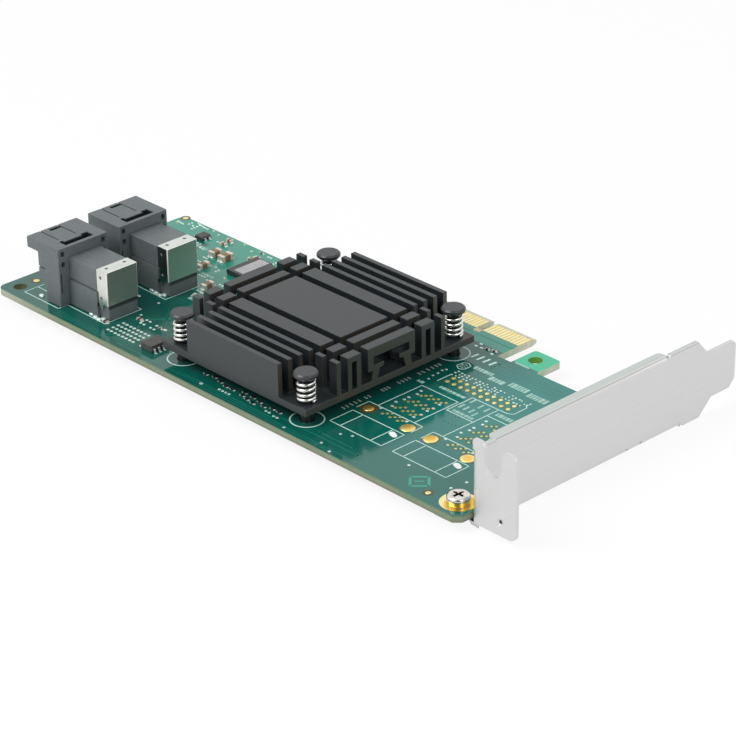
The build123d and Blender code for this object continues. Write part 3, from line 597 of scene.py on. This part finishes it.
def apart(tree, where, axes, middle):
    """How far a point of the surface is from a middle, along some axes."""
    flat = tree.nodes.new("ShaderNodeCombineXYZ")
    for axis in axes:
        tree.links.new(where[axis], flat.inputs[axis])
    distance = tree.nodes.new("ShaderNodeVectorMath")
    distance.operation = "DISTANCE"
    distance.inputs[1].default_value = middle
    tree.links.new(flat.outputs[0], distance.inputs[0])
    return distance.outputs["Value"]


def overlay(tree, amount, colour):
    """One more colour over a finish, by an amount."""
    base = tree.nodes["Principled BSDF"].inputs["Base Color"]
    tree.links.new(blend(tree, amount, base.links[0].from_socket, colour), base)


finger_gold = gold_paint("pale_gold_fingers", (0.90, 0.77, 0.33), (0.96, 0.90, 0.50), 0.34)
pad_gold = gold_paint("gold_pads", (0.80, 0.53, 0.10), (0.90, 0.68, 0.20), 0.30)
for name in ("edge_contacts_top", "edge_contacts_bottom"):
    wear_finish(frame["nodes"][name], finger_gold)
for name in ("plated_pads", "socket_a_contacts", "socket_b_contacts"):
    wear_finish(frame["nodes"][name], pad_gold)
# The rings under the screw heads are pale gold, with painted shade that makes them deep orange close round
# the near screw.
ring_gold_and_shade = gold_paint("gold_with_screw_shade", (0.74, 0.42, 0.04), (0.94, 0.66, 0.13), 0.24)
low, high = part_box("bracket_screw_near")
screw_axis = Vector(((low.x + high.x) / 2, (low.y + high.y) / 2, 0.0))
screw_top = high.z
shade_middle = screw_axis + Vector((1.15, -0.35, 0.0)) * mm
tree = ring_gold_and_shade.node_tree
from_screw = apart(tree, place_on(tree), "XYZ", shade_middle)
overlay(tree, spread(tree, from_screw, 3.3 * mm, 3.8 * mm), (0.97, 0.82, 0.40))
wear_finish(frame["nodes"]["screw_pads"], ring_gold_and_shade)

# The mask laps over the roots of the fingers, on each side of the key slot.
low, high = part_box("edge_contacts_top")
lap = new_solid()
lap_top = high.z / mm + 0.01
for left, right in ((low.x / mm - 0.3, -1.0), (1.05, high.x / mm + 0.2)):
    slab(left, right, 61.2, 63.2, 0.0, lap_top, lap)
piece_from("mask_lap", lap, trace_paint("mask_over_fingers", (0.030, 0.250, 0.175), (0.040, 0.280, 0.200)))

# Solder on the board: filled round pads with darker rims, connector holes, vias and bare component pads.
# Bright tin solder stands a little proud of the mask in low, soft-edged mounds.


def mound(x, y, half_x, half_y, high, solid, steps=14, base=0.0):
    """A low oval mound of solder with a soft edge."""
    start = len(solid["points"])
    levels = ((1.0, 0.0), (0.93, 0.55), (0.72, 0.88), (0.40, 1.0))
    for share, rise in levels:
        for step in range(steps):
            angle = 2 * math.pi * step / steps
            out_x, out_y = half_x * share * math.cos(angle), half_y * share * math.sin(angle)
            solid["points"].append((x + out_x, y + out_y, base + high * rise))
    for level in range(len(levels) - 1):
        for i in range(steps):
            j = (i + 1) % steps
            low, up = start + level * steps, start + (level + 1) * steps
            solid["faces"].append([low + i, low + j, up + j, up + i])
    top = start + (len(levels) - 1) * steps
    solid["faces"].append([top + i for i in range(steps)])
    solid["faces"].append([start + steps - 1 - i for i in range(steps)])


def flat_paint(name, first, second, rough, metal=0.0):
    """A quiet surface with slight mottling."""
    return mottled(name, first, second, 900.0, rough, metal)[0]


def pad_pair(x, y, gap, half, along_card=True):
    """Two bare tinned pads with no part on them."""
    for side in (-1, 1):
        shift = side * gap / 2
        dx, dy = (shift, 0.0) if along_card else (0.0, shift)
        mound(x + dx, y + dy, half, half * 0.85, 0.09, tin, 10)


halos = new_solid()
gold_cores = new_solid()
hole_gold = new_solid()
pad_golds = new_solid()
brown_rims = new_solid()
vias = new_solid()
tin = new_solid()
# The four filled pads: a dark rim of burnt mask, the plated ring, and an orange centre.
for x, y, reach, rim in ((10.0, 19.5, 1.25, 0.75), (22.2, 19.3, 1.7, 0.15), (29.0, 19.3, 1.7, 0.2),
                         (40.4, 18.8, 1.7, 0.2)):
    ring(x, y, reach + rim, rim, 0.0, 0.02, brown_rims, 32)
    mound(x, y, reach * 0.98, reach * 0.98, 0.16, pad_golds, 32, 0.03)
    mound(x, y, reach * 0.60, reach * 0.60, 0.05, gold_cores, 24, 0.175)
# The two rows of ten connector holes, each a pale gold oval in a darker green ring.
for column in range(10):
    for row in range(2):
        x, y = 12.85 + 2.03 * column, 40.25 + 1.95 * row
        mound(x, y, 0.52, 0.52, 0.07, hole_gold, 16)
        ring(x, y, 0.80, 0.26, 0.0, 0.015, halos, 20)
# Via lattices inside the two outlines: triplets that step diagonally, in four rows.
for shift in (0.0, 19.6):
    for row in range(4):
        row_y = 20.1 + 3.8 * row
        for group in range(3):
            for step in range(3):
                x = 13.7 + shift + 2.3 * group + 0.75 * step
                y = row_y + 0.75 * step
                if x < 20.6 + shift:
                    mound(x, y, 0.37, 0.37, 0.06, vias, 10)
                    ring(x, y, 0.60, 0.22, 0.0, 0.015, halos, 10)
    for x, y in ((12.1, 33.1), (12.6, 31.5), (12.3, 29.2), (12.4, 27.8), (11.9, 25.8), (12.7, 23.9),
                 (11.6, 21.6), (19.9, 25.5), (19.5, 23.7), (19.6, 27.6), (19.7, 29.3), (19.4, 31.4),
                 (19.9, 21.2)):
        mound(x + shift, y, 0.42, 0.34, 0.08, tin, 12)
# Loose vias and bare pads among the parts by the far socket, and by the far left corner.
for x, y in ((-71.8, 42.1), (-68.8, 39.6), (-65.6, 37.4), (-64.2, 37.8), (-62.1, 36.7), (-58.1, 37.2),
             (-59.5, 31.6), (-58.6, 29.6), (-76.5, 52.4), (-61.5, 55.2), (-58.2, 53.8), (-89.6, 54.7),
             (-87.1, 55.1), (-87.0, 53.3), (-84.7, 55.5), (-79.4, 48.7), (-76.8, 47.2), (-72.2, 44.4),
             (-70.1, 39.2), (-65.8, 35.4), (-64.6, 41.6)):
    pad_pair(x, y, 0.9, 0.34, scatter.random() < 0.5)
for x, y in ((-66.5, 42.8), (-63.3, 45.9), (-74.2, 48.3), (-82.4, 55.9), (-92.7, 53.0), (-79.8, 55.2),
             (-69.4, 50.1), (-60.6, 40.4), (-57.6, 40.0), (-67.2, 54.6), (-71.2, 56.0), (-64.5, 52.9)):
    mound(x, y, 0.34, 0.34, 0.05, vias, 10)
# Short bare strips by the far left corner.
for a, b in (((-93.1, 53.5), (-90.4, 53.2)), ((-88.4, 56.0), (-85.3, 55.5)), ((-88.6, 54.4), (-87.7, 54.0)),
             ((-82.8, 53.3), (-81.0, 53.3)), ((-81.6, 51.2), (-80.0, 51.2))):
    stroke(a, b, 0.42, 0.0, 0.05, tin)
# Small test spots near the bracket and on the outer field.
for x, y, reach in ((44.7, 3.2, 0.62), (-90.5, 8.6, 0.75), (-92.9, 55.9, 0.70)):
    ring(x, y, reach + 0.55, 0.5, 0.0, 0.02, brown_rims, 24)
    mound(x, y, reach, reach, 0.06, hole_gold, 20)
for x, y in ((14.1, 7.6), (16.5, 8.8), (14.1, 2.2), (18.0, 0.8), (3.6, 1.2), (33.8, 8.4), (46.6, 7.8),
             (47.2, 11.7), (-23.9, 1.8), (-61.2, 21.0), (-59.2, 14.2)):
    mound(x, y, 0.36, 0.36, 0.05, tin, 10)
# The four by four field of pads before the near socket, and the two rows beside it.
for column in range(4):
    for row in range(4):
        pad_pair(-58.1 + 2.55 * column, 4.2 + 1.5 * row, 1.20, 0.46)
for x, y in ((-55.5, 11.5), (-52.0, 11.5), (-55.6, 13.4), (-51.8, 13.2)):
    pad_pair(x, y, 1.2, 0.40)
for x, y in ((-49.4, 13.1), (-58.5, 28.9), (-59.0, 30.1), (-58.2, 31.4), (-67.3, 20.2)):
    mound(x, y, 0.55, 0.40, 0.12, tin)
# Pads along the near side of the heat sink, with small dark parts soldered across most of them.
small_parts = new_solid()
parts_from = 3.5
for x, y in ((-26.5, 5.6), (-18.5, 2.9), (-16.4, 2.9), (-19.0, 4.7), (-16.9, 4.8), (-13.3, 4.5), (-11.4, 4.0),
             (-9.2, 3.7), (-8.4, 5.1), (-6.4, 4.4), (-4.2, 5.0), (-4.0, 3.4), (-2.0, 4.9), (-1.1, 3.0),
             (-13.9, 5.7), (-11.0, 5.5), (-24.0, 5.9), (-21.4, 5.3)):
    pad_pair(x, y, 1.05, 0.40)
    if y > parts_from:
        slab(x - 0.42, x + 0.42, y - 0.28, y + 0.28, 0.0, 0.36, small_parts)
mound(-23.9, 1.9, 0.50, 0.42, 0.08, tin, 12)
# Pads along its bracket side, and the row behind the connector holes.
for y in (15.9, 17.0, 18.2, 19.4, 20.6, 22.5, 23.5, 27.4, 28.3, 29.2, 32.3, 33.4, 34.4, 35.4, 38.4, 39.6,
          41.1, 42.4, 43.6, 44.6):
    stroke((5.5, y), (6.6, y), 0.42, 0.0, 0.05, tin)
for x, y in ((8.7, 40.0), (8.7, 41.5), (8.4, 43.1), (8.8, 44.0), (9.4, 36.3), (9.2, 38.2)):
    mound(x, y, 0.34, 0.34, 0.08, tin, 10)
for column in range(21):
    for row_y in (43.3, 44.2, 45.1):
        if scatter.random() < 0.75:
            x = 11.4 + 1.08 * column + scatter.uniform(-0.2, 0.2)
            y = row_y + scatter.uniform(-0.2, 0.2)
            mound(x, y, scatter.uniform(0.18, 0.34), scatter.uniform(0.18, 0.30), 0.09, tin, 10)
for x, y in ((5.3, 56.7), (5.5, 58.1), (6.9, 56.8), (10.6, 56.3), (9.5, 57.9)):
    mound(x, y, 0.42, 0.34, 0.10, tin, 12)
# Solder at the sockets' feet.
for name in ("a", "b"):
    low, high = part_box(f"socket_{name}_shell")
    middle = ((low.y + high.y) / 2 - near_edge) / mm
    for x, y in ((-67.4, -4.2), (-65.6, -4.6), (-64.2, -4.8), (-63.4, -4.0), (-65.0, -2.4), (-83.0, -6.4)):
        mound(x, middle + y, 0.80, 0.56, 0.42, tin, 12)
piece_from("small_parts", small_parts,
           flat_paint("part_glaze", (0.010, 0.011, 0.012), (0.030, 0.030, 0.032), 0.35))
piece_from("pad_rims", halos,
           flat_paint("dark_mask_rims", (0.030, 0.085, 0.020), (0.060, 0.120, 0.030), 0.35))
piece_from("filled_pads", hole_gold,
           gold_paint("pale_gold_pads", (0.70, 0.68, 0.25), (0.84, 0.82, 0.44), 0.36))
piece_from("pad_faces", pad_golds,
           gold_paint("bright_gold", (0.90, 0.72, 0.20), (0.97, 0.86, 0.40), 0.32))
burnt_mask = flat_paint("burnt_mask_rims", (0.070, 0.042, 0.012), (0.110, 0.072, 0.020), 0.35)
piece_from("brown_rims", brown_rims, burnt_mask)
piece_from("pad_centres", gold_cores,
           gold_paint("orange_gold", (0.92, 0.52, 0.08), (0.96, 0.68, 0.18), 0.30))
piece_from("vias", vias, gold_paint("via_gold", (0.50, 0.56, 0.26), (0.66, 0.72, 0.42), 0.40))
piece_from("solder_pads", tin,
           flat_paint("bright_solder", (0.56, 0.76, 0.69), (0.80, 0.91, 0.86), 0.30, 0.45))

# Heat sink: an aluminium extrusion, sawn across and black anodised.
# The anodising is matt, with fine lines along the extrusion, and warmer and paler on the sawn ends,
# which took the dye less well.
square_on = 0.9


def streaks(tree, stretch):
    """Noise drawn out into fine lines."""
    place = tree.nodes.new("ShaderNodeTexCoord")
    drawn = tree.nodes.new("ShaderNodeMapping")
    dial(drawn, Scale=stretch)
    tree.links.new(place.outputs["Object"], drawn.inputs["Vector"])
    noise = tree.nodes.new("ShaderNodeTexNoise")
    dial(noise, Scale=1.0, Detail=3.0)
    tree.links.new(drawn.outputs[0], noise.inputs["Vector"])
    return noise.outputs["Fac"]


def anodised_paint():
    """Black anodised aluminium with faint lines along its length."""
    finish, tree, shader = paint("black_anodised")
    lines = streaks(tree, (40.0, 4000.0, 4000.0))
    black = blend(tree, lines, (0.013, 0.018, 0.021), (0.023, 0.028, 0.031))
    tree.links.new(black, shader.inputs["Base Color"])
    overlay(tree, above(tree, facing(tree)["X"], square_on), (0.044, 0.041, 0.036))
    dial(shader, Roughness=0.38, IOR=1.54)
    bump(tree, lines, 0.12, 0.00003)
    return finish


def soften(node, width):
    """Rounds a node's sharp edges without moving its own vertices."""
    weld = node.modifiers.new("join_seams", "WELD")
    weld.merge_threshold = 0.002 * mm
    edge = node.modifiers.new("soft_edges", "BEVEL")
    edge.width = width * mm
    edge.segments = 2
    edge.limit_method = "ANGLE"
    edge.angle_limit = math.radians(35)
    edge.harden_normals = False


sink = frame["nodes"]["heatsink"]
wear_finish(sink, anodised_paint())
soften(sink, 0.12)

# Processor under the heat sink: a green carrier with a nickel lid, soldered to the board.
# A soft grey silicone pad fills the gap between the lid and the sink's base.


def plain_paint(name, first, second, rough, scale=800.0, metal=0.0, relief=0.1):
    """A moulded or fired surface, with slight mottling and fine relief."""
    finish, clouds = mottled(name, first, second, scale, rough, metal)
    bump(finish.node_tree, clouds, relief, 0.00003)
    return finish


wear_finish(frame["nodes"]["processor_substrate"],
            plain_paint("chip_carrier", (0.006, 0.035, 0.022), (0.010, 0.050, 0.032), 0.4))
wear_finish(frame["nodes"]["processor_lid"],
            plain_paint("nickel_lid", (0.50, 0.50, 0.49), (0.58, 0.58, 0.57), 0.35, metal=1.0))
wear_finish(frame["nodes"]["thermal_pad"],
            plain_paint("soft_pad", (0.25, 0.28, 0.33), (0.32, 0.35, 0.40), 0.8))

# Push pins: black nylon pins with flat heads, pressed through the heat sink into the board.
# The shanks below the heat sink are painted blacker than the heads, as shade under the sink.
shank_shade_top = 2.9 * mm
pin_nylon = plain_paint("black_nylon", (0.020, 0.023, 0.026), (0.029, 0.034, 0.037), 0.34)
tree = pin_nylon.node_tree
overlay(tree, below(tree, place_on(tree)["Z"], shank_shade_top), (0.003, 0.006, 0.005))
for name in pin_names:
    pin = frame["nodes"]["push_pin_" + name]
    wear_finish(pin, pin_nylon)
    soften(pin, 0.10)

# Pin springs: bright drawn steel wire, coiled, with closed ends.
# Each stands on the heat sink's base and bears on the collar under its pin's head.
spring_finish = plain_paint("bright_wire", (0.72, 0.71, 0.68), (0.84, 0.83, 0.80), 0.22, metal=1.0,
                            relief=0.04)
spring_turns = 4.6
turn_steps = 26
wire_sides = 10
wire_reach = 0.36
closed_low = 1.15
closed_high = 0.60
closed_pitch = 1.9 * wire_reach
all_closed = closed_low + closed_high


def coil(name):
    """A round wire wound at an even pitch, with a closed turn at each end."""
    low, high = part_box("pin_spring_" + name)
    middle_x, middle_y = (low.x + high.x) / 2 / mm, (low.y + high.y) / 2 / mm
    winding = (high.x - low.x) / 2 / mm - wire_reach
    bottom, top = low.z / mm + wire_reach, high.z / mm - wire_reach
    open_pitch = (top - bottom - all_closed * closed_pitch) / (spring_turns - all_closed)
    points, faces = [], []
    count = int(spring_turns * turn_steps) + 1
    for step in range(count):
        turned = step / turn_steps
        closed = min(turned, closed_low) + max(turned - (spring_turns - closed_high), 0.0)
        rise = bottom + closed * closed_pitch + (turned - closed) * open_pitch
        angle = 2 * math.pi * turned
        for side in range(wire_sides):
            around = 2 * math.pi * side / wire_sides
            reach = winding + wire_reach * math.cos(around)
            points.append((middle_x + reach * math.cos(angle), middle_y + reach * math.sin(angle),
                           rise + wire_reach * math.sin(around)))
    for step in range(count - 1):
        for side in range(wire_sides):
            a, b = step * wire_sides + side, step * wire_sides + (side + 1) % wire_sides
            faces.append([a, a + wire_sides, b + wire_sides, b])
    faces.append(list(range(wire_sides)))
    faces.append([(count - 1) * wire_sides + side for side in reversed(range(wire_sides))])
    data = bpy.data.meshes.new("wire_" + name)
    data.from_pydata([(x * mm, y * mm, z * mm) for x, y, z in points], [], faces)
    data.materials.append(spring_finish)
    data.polygons.foreach_set("use_smooth", [True] * len(data.polygons))
    spring = bpy.data.objects.new("wire_" + name, data)
    scene_objects.link(spring)
    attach(spring, "root")
    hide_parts("pin_spring_" + name)


for name in pin_names:
    coil(name)

# Cable sockets: grey moulded shells, each with a stack of thin moulded wafers behind it.
# A cap of thin folded bright metal is clipped over the end of each stack.
slot_spans = ((3.65, 0.99), (10.65, 9.55))
slot_half = 4.2 * mm
slot_rim = 0.22 * mm
wafer_pitch = 1.36 * mm
shell_finish = plain_paint("grey_moulding", (0.100, 0.116, 0.124), (0.122, 0.138, 0.146), 0.45)
# Painted shade: each roof's two slot openings are dark inside, below their edges.
tree = shell_finish.node_tree
where = place_on(tree)
slot_shades = []
for name in ("a", "b"):
    low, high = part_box(f"socket_{name}_shell")
    middle = (low.y + high.y) / 2
    for front, back in slot_spans:
        slot_shades.append(soft_inside(tree, where, Vector((high.x - front * mm, middle - slot_half, 0.0)),
                                 Vector((high.x - back * mm, middle + slot_half, 0.0)), 0.02 * mm))
shell_back = high.x
under_rim = below(tree, where["Z"], high.z - slot_rim)
overlay(tree, number(tree, joined(tree, "MAXIMUM", *slot_shades), "MULTIPLY", under_rim), (0.016, 0.019, 0.021))
# The wafers have faint seams on top, and are dark in the shade of the cap and under the roof.
stack_finish = plain_paint("stacked_wafers", (0.112, 0.130, 0.134), (0.136, 0.156, 0.160), 0.42)
tree = stack_finish.node_tree
where = place_on(tree)
across = facing(tree)
wafer = number(tree, number(tree, where["Y"], "MULTIPLY", 1.0 / wafer_pitch), "FRACT")
seam = number(tree, below(tree, wafer, 0.10), "MULTIPLY", above(tree, across["Z"], 0.7))
overlay(tree, seam, (0.092, 0.105, 0.109))
cap_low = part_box("socket_a_cap")[0].z
cap_shade = joined(tree, "MULTIPLY", below(tree, where["Z"], cap_low + 1.20 * mm),
                   above(tree, where["Z"], cap_low + 0.35 * mm), above(tree, across["X"], 0.7))
overlay(tree, cap_shade, (0.018, 0.026, 0.024))
overlay(tree, below(tree, where["X"], shell_back - 0.3 * mm), (0.016, 0.018, 0.020))
# Each cap has painted shade on its outer face, which is greyer and less metallic, and a painted highlight
# along the folded edge of that face.
cap_finish = plain_paint("cap_metal", (0.66, 0.69, 0.64), (0.74, 0.76, 0.72), 0.20, 300.0, 1.0, 0.03)
tree = cap_finish.node_tree
shaded_outer_face = above(tree, facing(tree)["X"], square_on)
fold = above(tree, place_on(tree)["X"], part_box("socket_a_cap")[1].x - 0.30 * mm)
overlay(tree, fold, (0.80, 0.82, 0.77))
overlay(tree, shaded_outer_face, (0.51, 0.49, 0.44))
outer_metal = tree.nodes.new("ShaderNodeMix")
dial(outer_metal, B=0.78)
tree.links.new(shaded_outer_face, outer_metal.inputs["Factor"])
tree.links.new(spread(tree, fold, 0.0, 1.0, 1.0, 0.25), outer_metal.inputs["A"])
tree.links.new(outer_metal.outputs["Result"], tree.nodes["Principled BSDF"].inputs["Metallic"])
tin_finish = plain_paint("tin_plate", (0.70, 0.71, 0.72), (0.80, 0.81, 0.81), 0.28, metal=1.0)
for name in ("a", "b"):
    for part, finish in (("shell", shell_finish), ("wafer_stack", stack_finish), ("cap", cap_finish),
                         ("pin_tails", tin_finish)):
        wear_finish(frame["nodes"][f"socket_{name}_{part}"], finish)
    for part, width in (("shell", 0.10), ("wafer_stack", 0.14), ("cap", 0.12)):
        soften(frame["nodes"][f"socket_{name}_{part}"], width)

# Mounting bracket: one folded steel sheet with satin nickel plate, and its two bright screws.
# The screws hold its two ears to the board, through the plated rings.
lip_top = 14.48
plate_face = 57.19


def bracket_paint():
    """Satin plate with very fine long grain."""
    finish, tree, shader = paint("satin_plate")
    grain = streaks(tree, (900.0, 120.0, 2500.0))
    where = place_on(tree)
    tree.links.new(blend(tree, grain, (0.63, 0.635, 0.635), (0.69, 0.69, 0.685)), shader.inputs["Base Color"])
    # Painted light: a greenish painted reflection on each lip, a thin painted shadow line along the fold, and
    # painted shade in the dimple's hole.
    lip_reflection = number(tree, below(tree, where["X"], (plate_face - 0.2) * mm), "MULTIPLY",
                  above(tree, where["Z"], (lip_top - 0.12) * mm))
    overlay(tree, lip_reflection, (0.57, 0.61, 0.58))
    line = joined(tree, "MULTIPLY", above(tree, where["Z"], (lip_top - 0.44) * mm),
                  below(tree, where["Z"], (lip_top - 0.26) * mm),
                  below(tree, where["X"], (plate_face + 0.05) * mm))
    overlay(tree, line, (0.44, 0.45, 0.44))
    dimple = apart(tree, where, "XZ", Vector((plate_face + 7.06, 0.0, 0.90)) * mm)
    overlay(tree, below(tree, dimple, 0.42 * mm), (0.06, 0.06, 0.06))
    dial(shader, Metallic=0.75, Roughness=0.42)
    bump(tree, grain, 0.05, 0.00002)
    return finish


wear_finish(frame["nodes"]["bracket"], bracket_paint())
soften(frame["nodes"]["bracket"], 0.08)
# The cross recess in a screw's head is painted dark below its rim, as shade in the recess.
screw_finish = plain_paint("screw_plate", (0.62, 0.59, 0.55), (0.84, 0.82, 0.79), 0.20, 1400.0, 1.0, 0.15)
tree = screw_finish.node_tree
where = place_on(tree)
recess = number(tree, below(tree, apart(tree, where, "XY", screw_axis), 1.45 * mm), "MULTIPLY",
                below(tree, where["Z"], screw_top - 0.28 * mm))
overlay(tree, recess, (0.06, 0.05, 0.04))
for name in ("near", "far"):
    wear_finish(frame["nodes"]["bracket_screw_" + name], screw_finish)
    soften(frame["nodes"]["bracket_screw_" + name], 0.06)

# Chips: black epoxy bodies with tinned leads, soldered flat.
# The capacitors are brown fired ceramic, and the resistors have a black glaze.
chip_finish = plain_paint("black_epoxy", (0.040, 0.040, 0.043), (0.055, 0.054, 0.056), 0.5)
lead_finish = flat_paint("soldered_leads", (0.68, 0.76, 0.73), (0.84, 0.89, 0.86), 0.28, 0.4)
for name, finish in (
        ("regulator_chip", chip_finish), ("logic_chip", chip_finish), ("logic_chip_leads", tin_finish),
        ("memory_chip", plain_paint("worn_epoxy", (0.060, 0.056, 0.054), (0.085, 0.078, 0.074), 0.5)),
        ("memory_chip_leads", lead_finish),
        ("capacitors", plain_paint("capacitor_ceramic", (0.20, 0.105, 0.055), (0.30, 0.175, 0.095), 0.45)),
        ("resistors", plain_paint("resistor_glaze", (0.03, 0.03, 0.032), (0.05, 0.05, 0.05), 0.4))):
    wear_finish(frame["nodes"][name], finish)

# Fired metal ends of the capacitors and resistors, each end with its own fillet of solder.
# Every body in the two nodes gets a sleeve over each end of its long side.


def bodies(node):
    """The bounds of each separate body in a node, found by following its joined faces."""
    keys = [tuple(round(part / (0.002 * mm)) for part in vertex.co) for vertex in node.data.vertices]
    parents = {key: key for key in keys}

    def root(key):
        while parents[key] != key:
            key = parents[key]
        return key

    for face in node.data.polygons:
        first = root(keys[face.vertices[0]])
        for index in face.vertices[1:]:
            parents[root(keys[index])] = first
    boxes = {}
    for vertex, key in zip(node.data.vertices, keys):
        place = node.matrix_world @ vertex.co
        low, high = boxes.setdefault(root(key), (place.copy(), place.copy()))
        for axis in range(3):
            low[axis] = min(low[axis], place[axis])
            high[axis] = max(high[axis], place[axis])
    return list(boxes.values())


skin = 0.02
ends = new_solid()
fillets = new_solid()
for name in ("capacitors", "resistors"):
    for low, high in bodies(frame["nodes"][name]):
        x0, x1 = low.x / mm - skin, high.x / mm + skin
        y0, y1 = (low.y - near_edge) / mm - skin, (high.y - near_edge) / mm + skin
        top = high.z / mm + skin
        band = 0.27 * max(x1 - x0, y1 - y0)
        fillet = 0.55 * band + 0.12
        if x1 - x0 >= y1 - y0:
            for end, a, b in ((x0, x0, x0 + band), (x1, x1 - band, x1)):
                slab(a, b, y0, y1, 0.01, top, ends)
                mound(end, (y0 + y1) / 2, fillet, 0.55 * (y1 - y0), 0.35 * top, fillets)
        else:
            for end, a, b in ((y0, y0, y0 + band), (y1, y1 - band, y1)):
                slab(x0, x1, a, b, 0.01, top, ends)
                mound((x0 + x1) / 2, end, 0.55 * (x1 - x0), fillet, 0.35 * top, fillets)
fired_ends = flat_paint("fired_ends", (0.66, 0.58, 0.50), (0.82, 0.78, 0.70), 0.38, 0.35)
end_piece = piece_from("metal_ends", ends, fired_ends)
soften(end_piece, 0.08)
piece_from("end_fillets", fillets,
           flat_paint("fillet_solder", (0.60, 0.70, 0.66), (0.78, 0.84, 0.80), 0.28, 0.5))

# Pale field on the regulator's top: a block of grey ink, printed along one side.
# It is two hundredths of a millimetre thick.
low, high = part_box("regulator_chip")
field = new_solid()
slab(-60.2, -57.0, 43.0, 51.3, high.z / mm, high.z / mm + 0.02, field)
piece_from("regulator_field", field,
           flat_paint("pale_grey_print", (0.36, 0.36, 0.37), (0.46, 0.46, 0.47), 0.5))
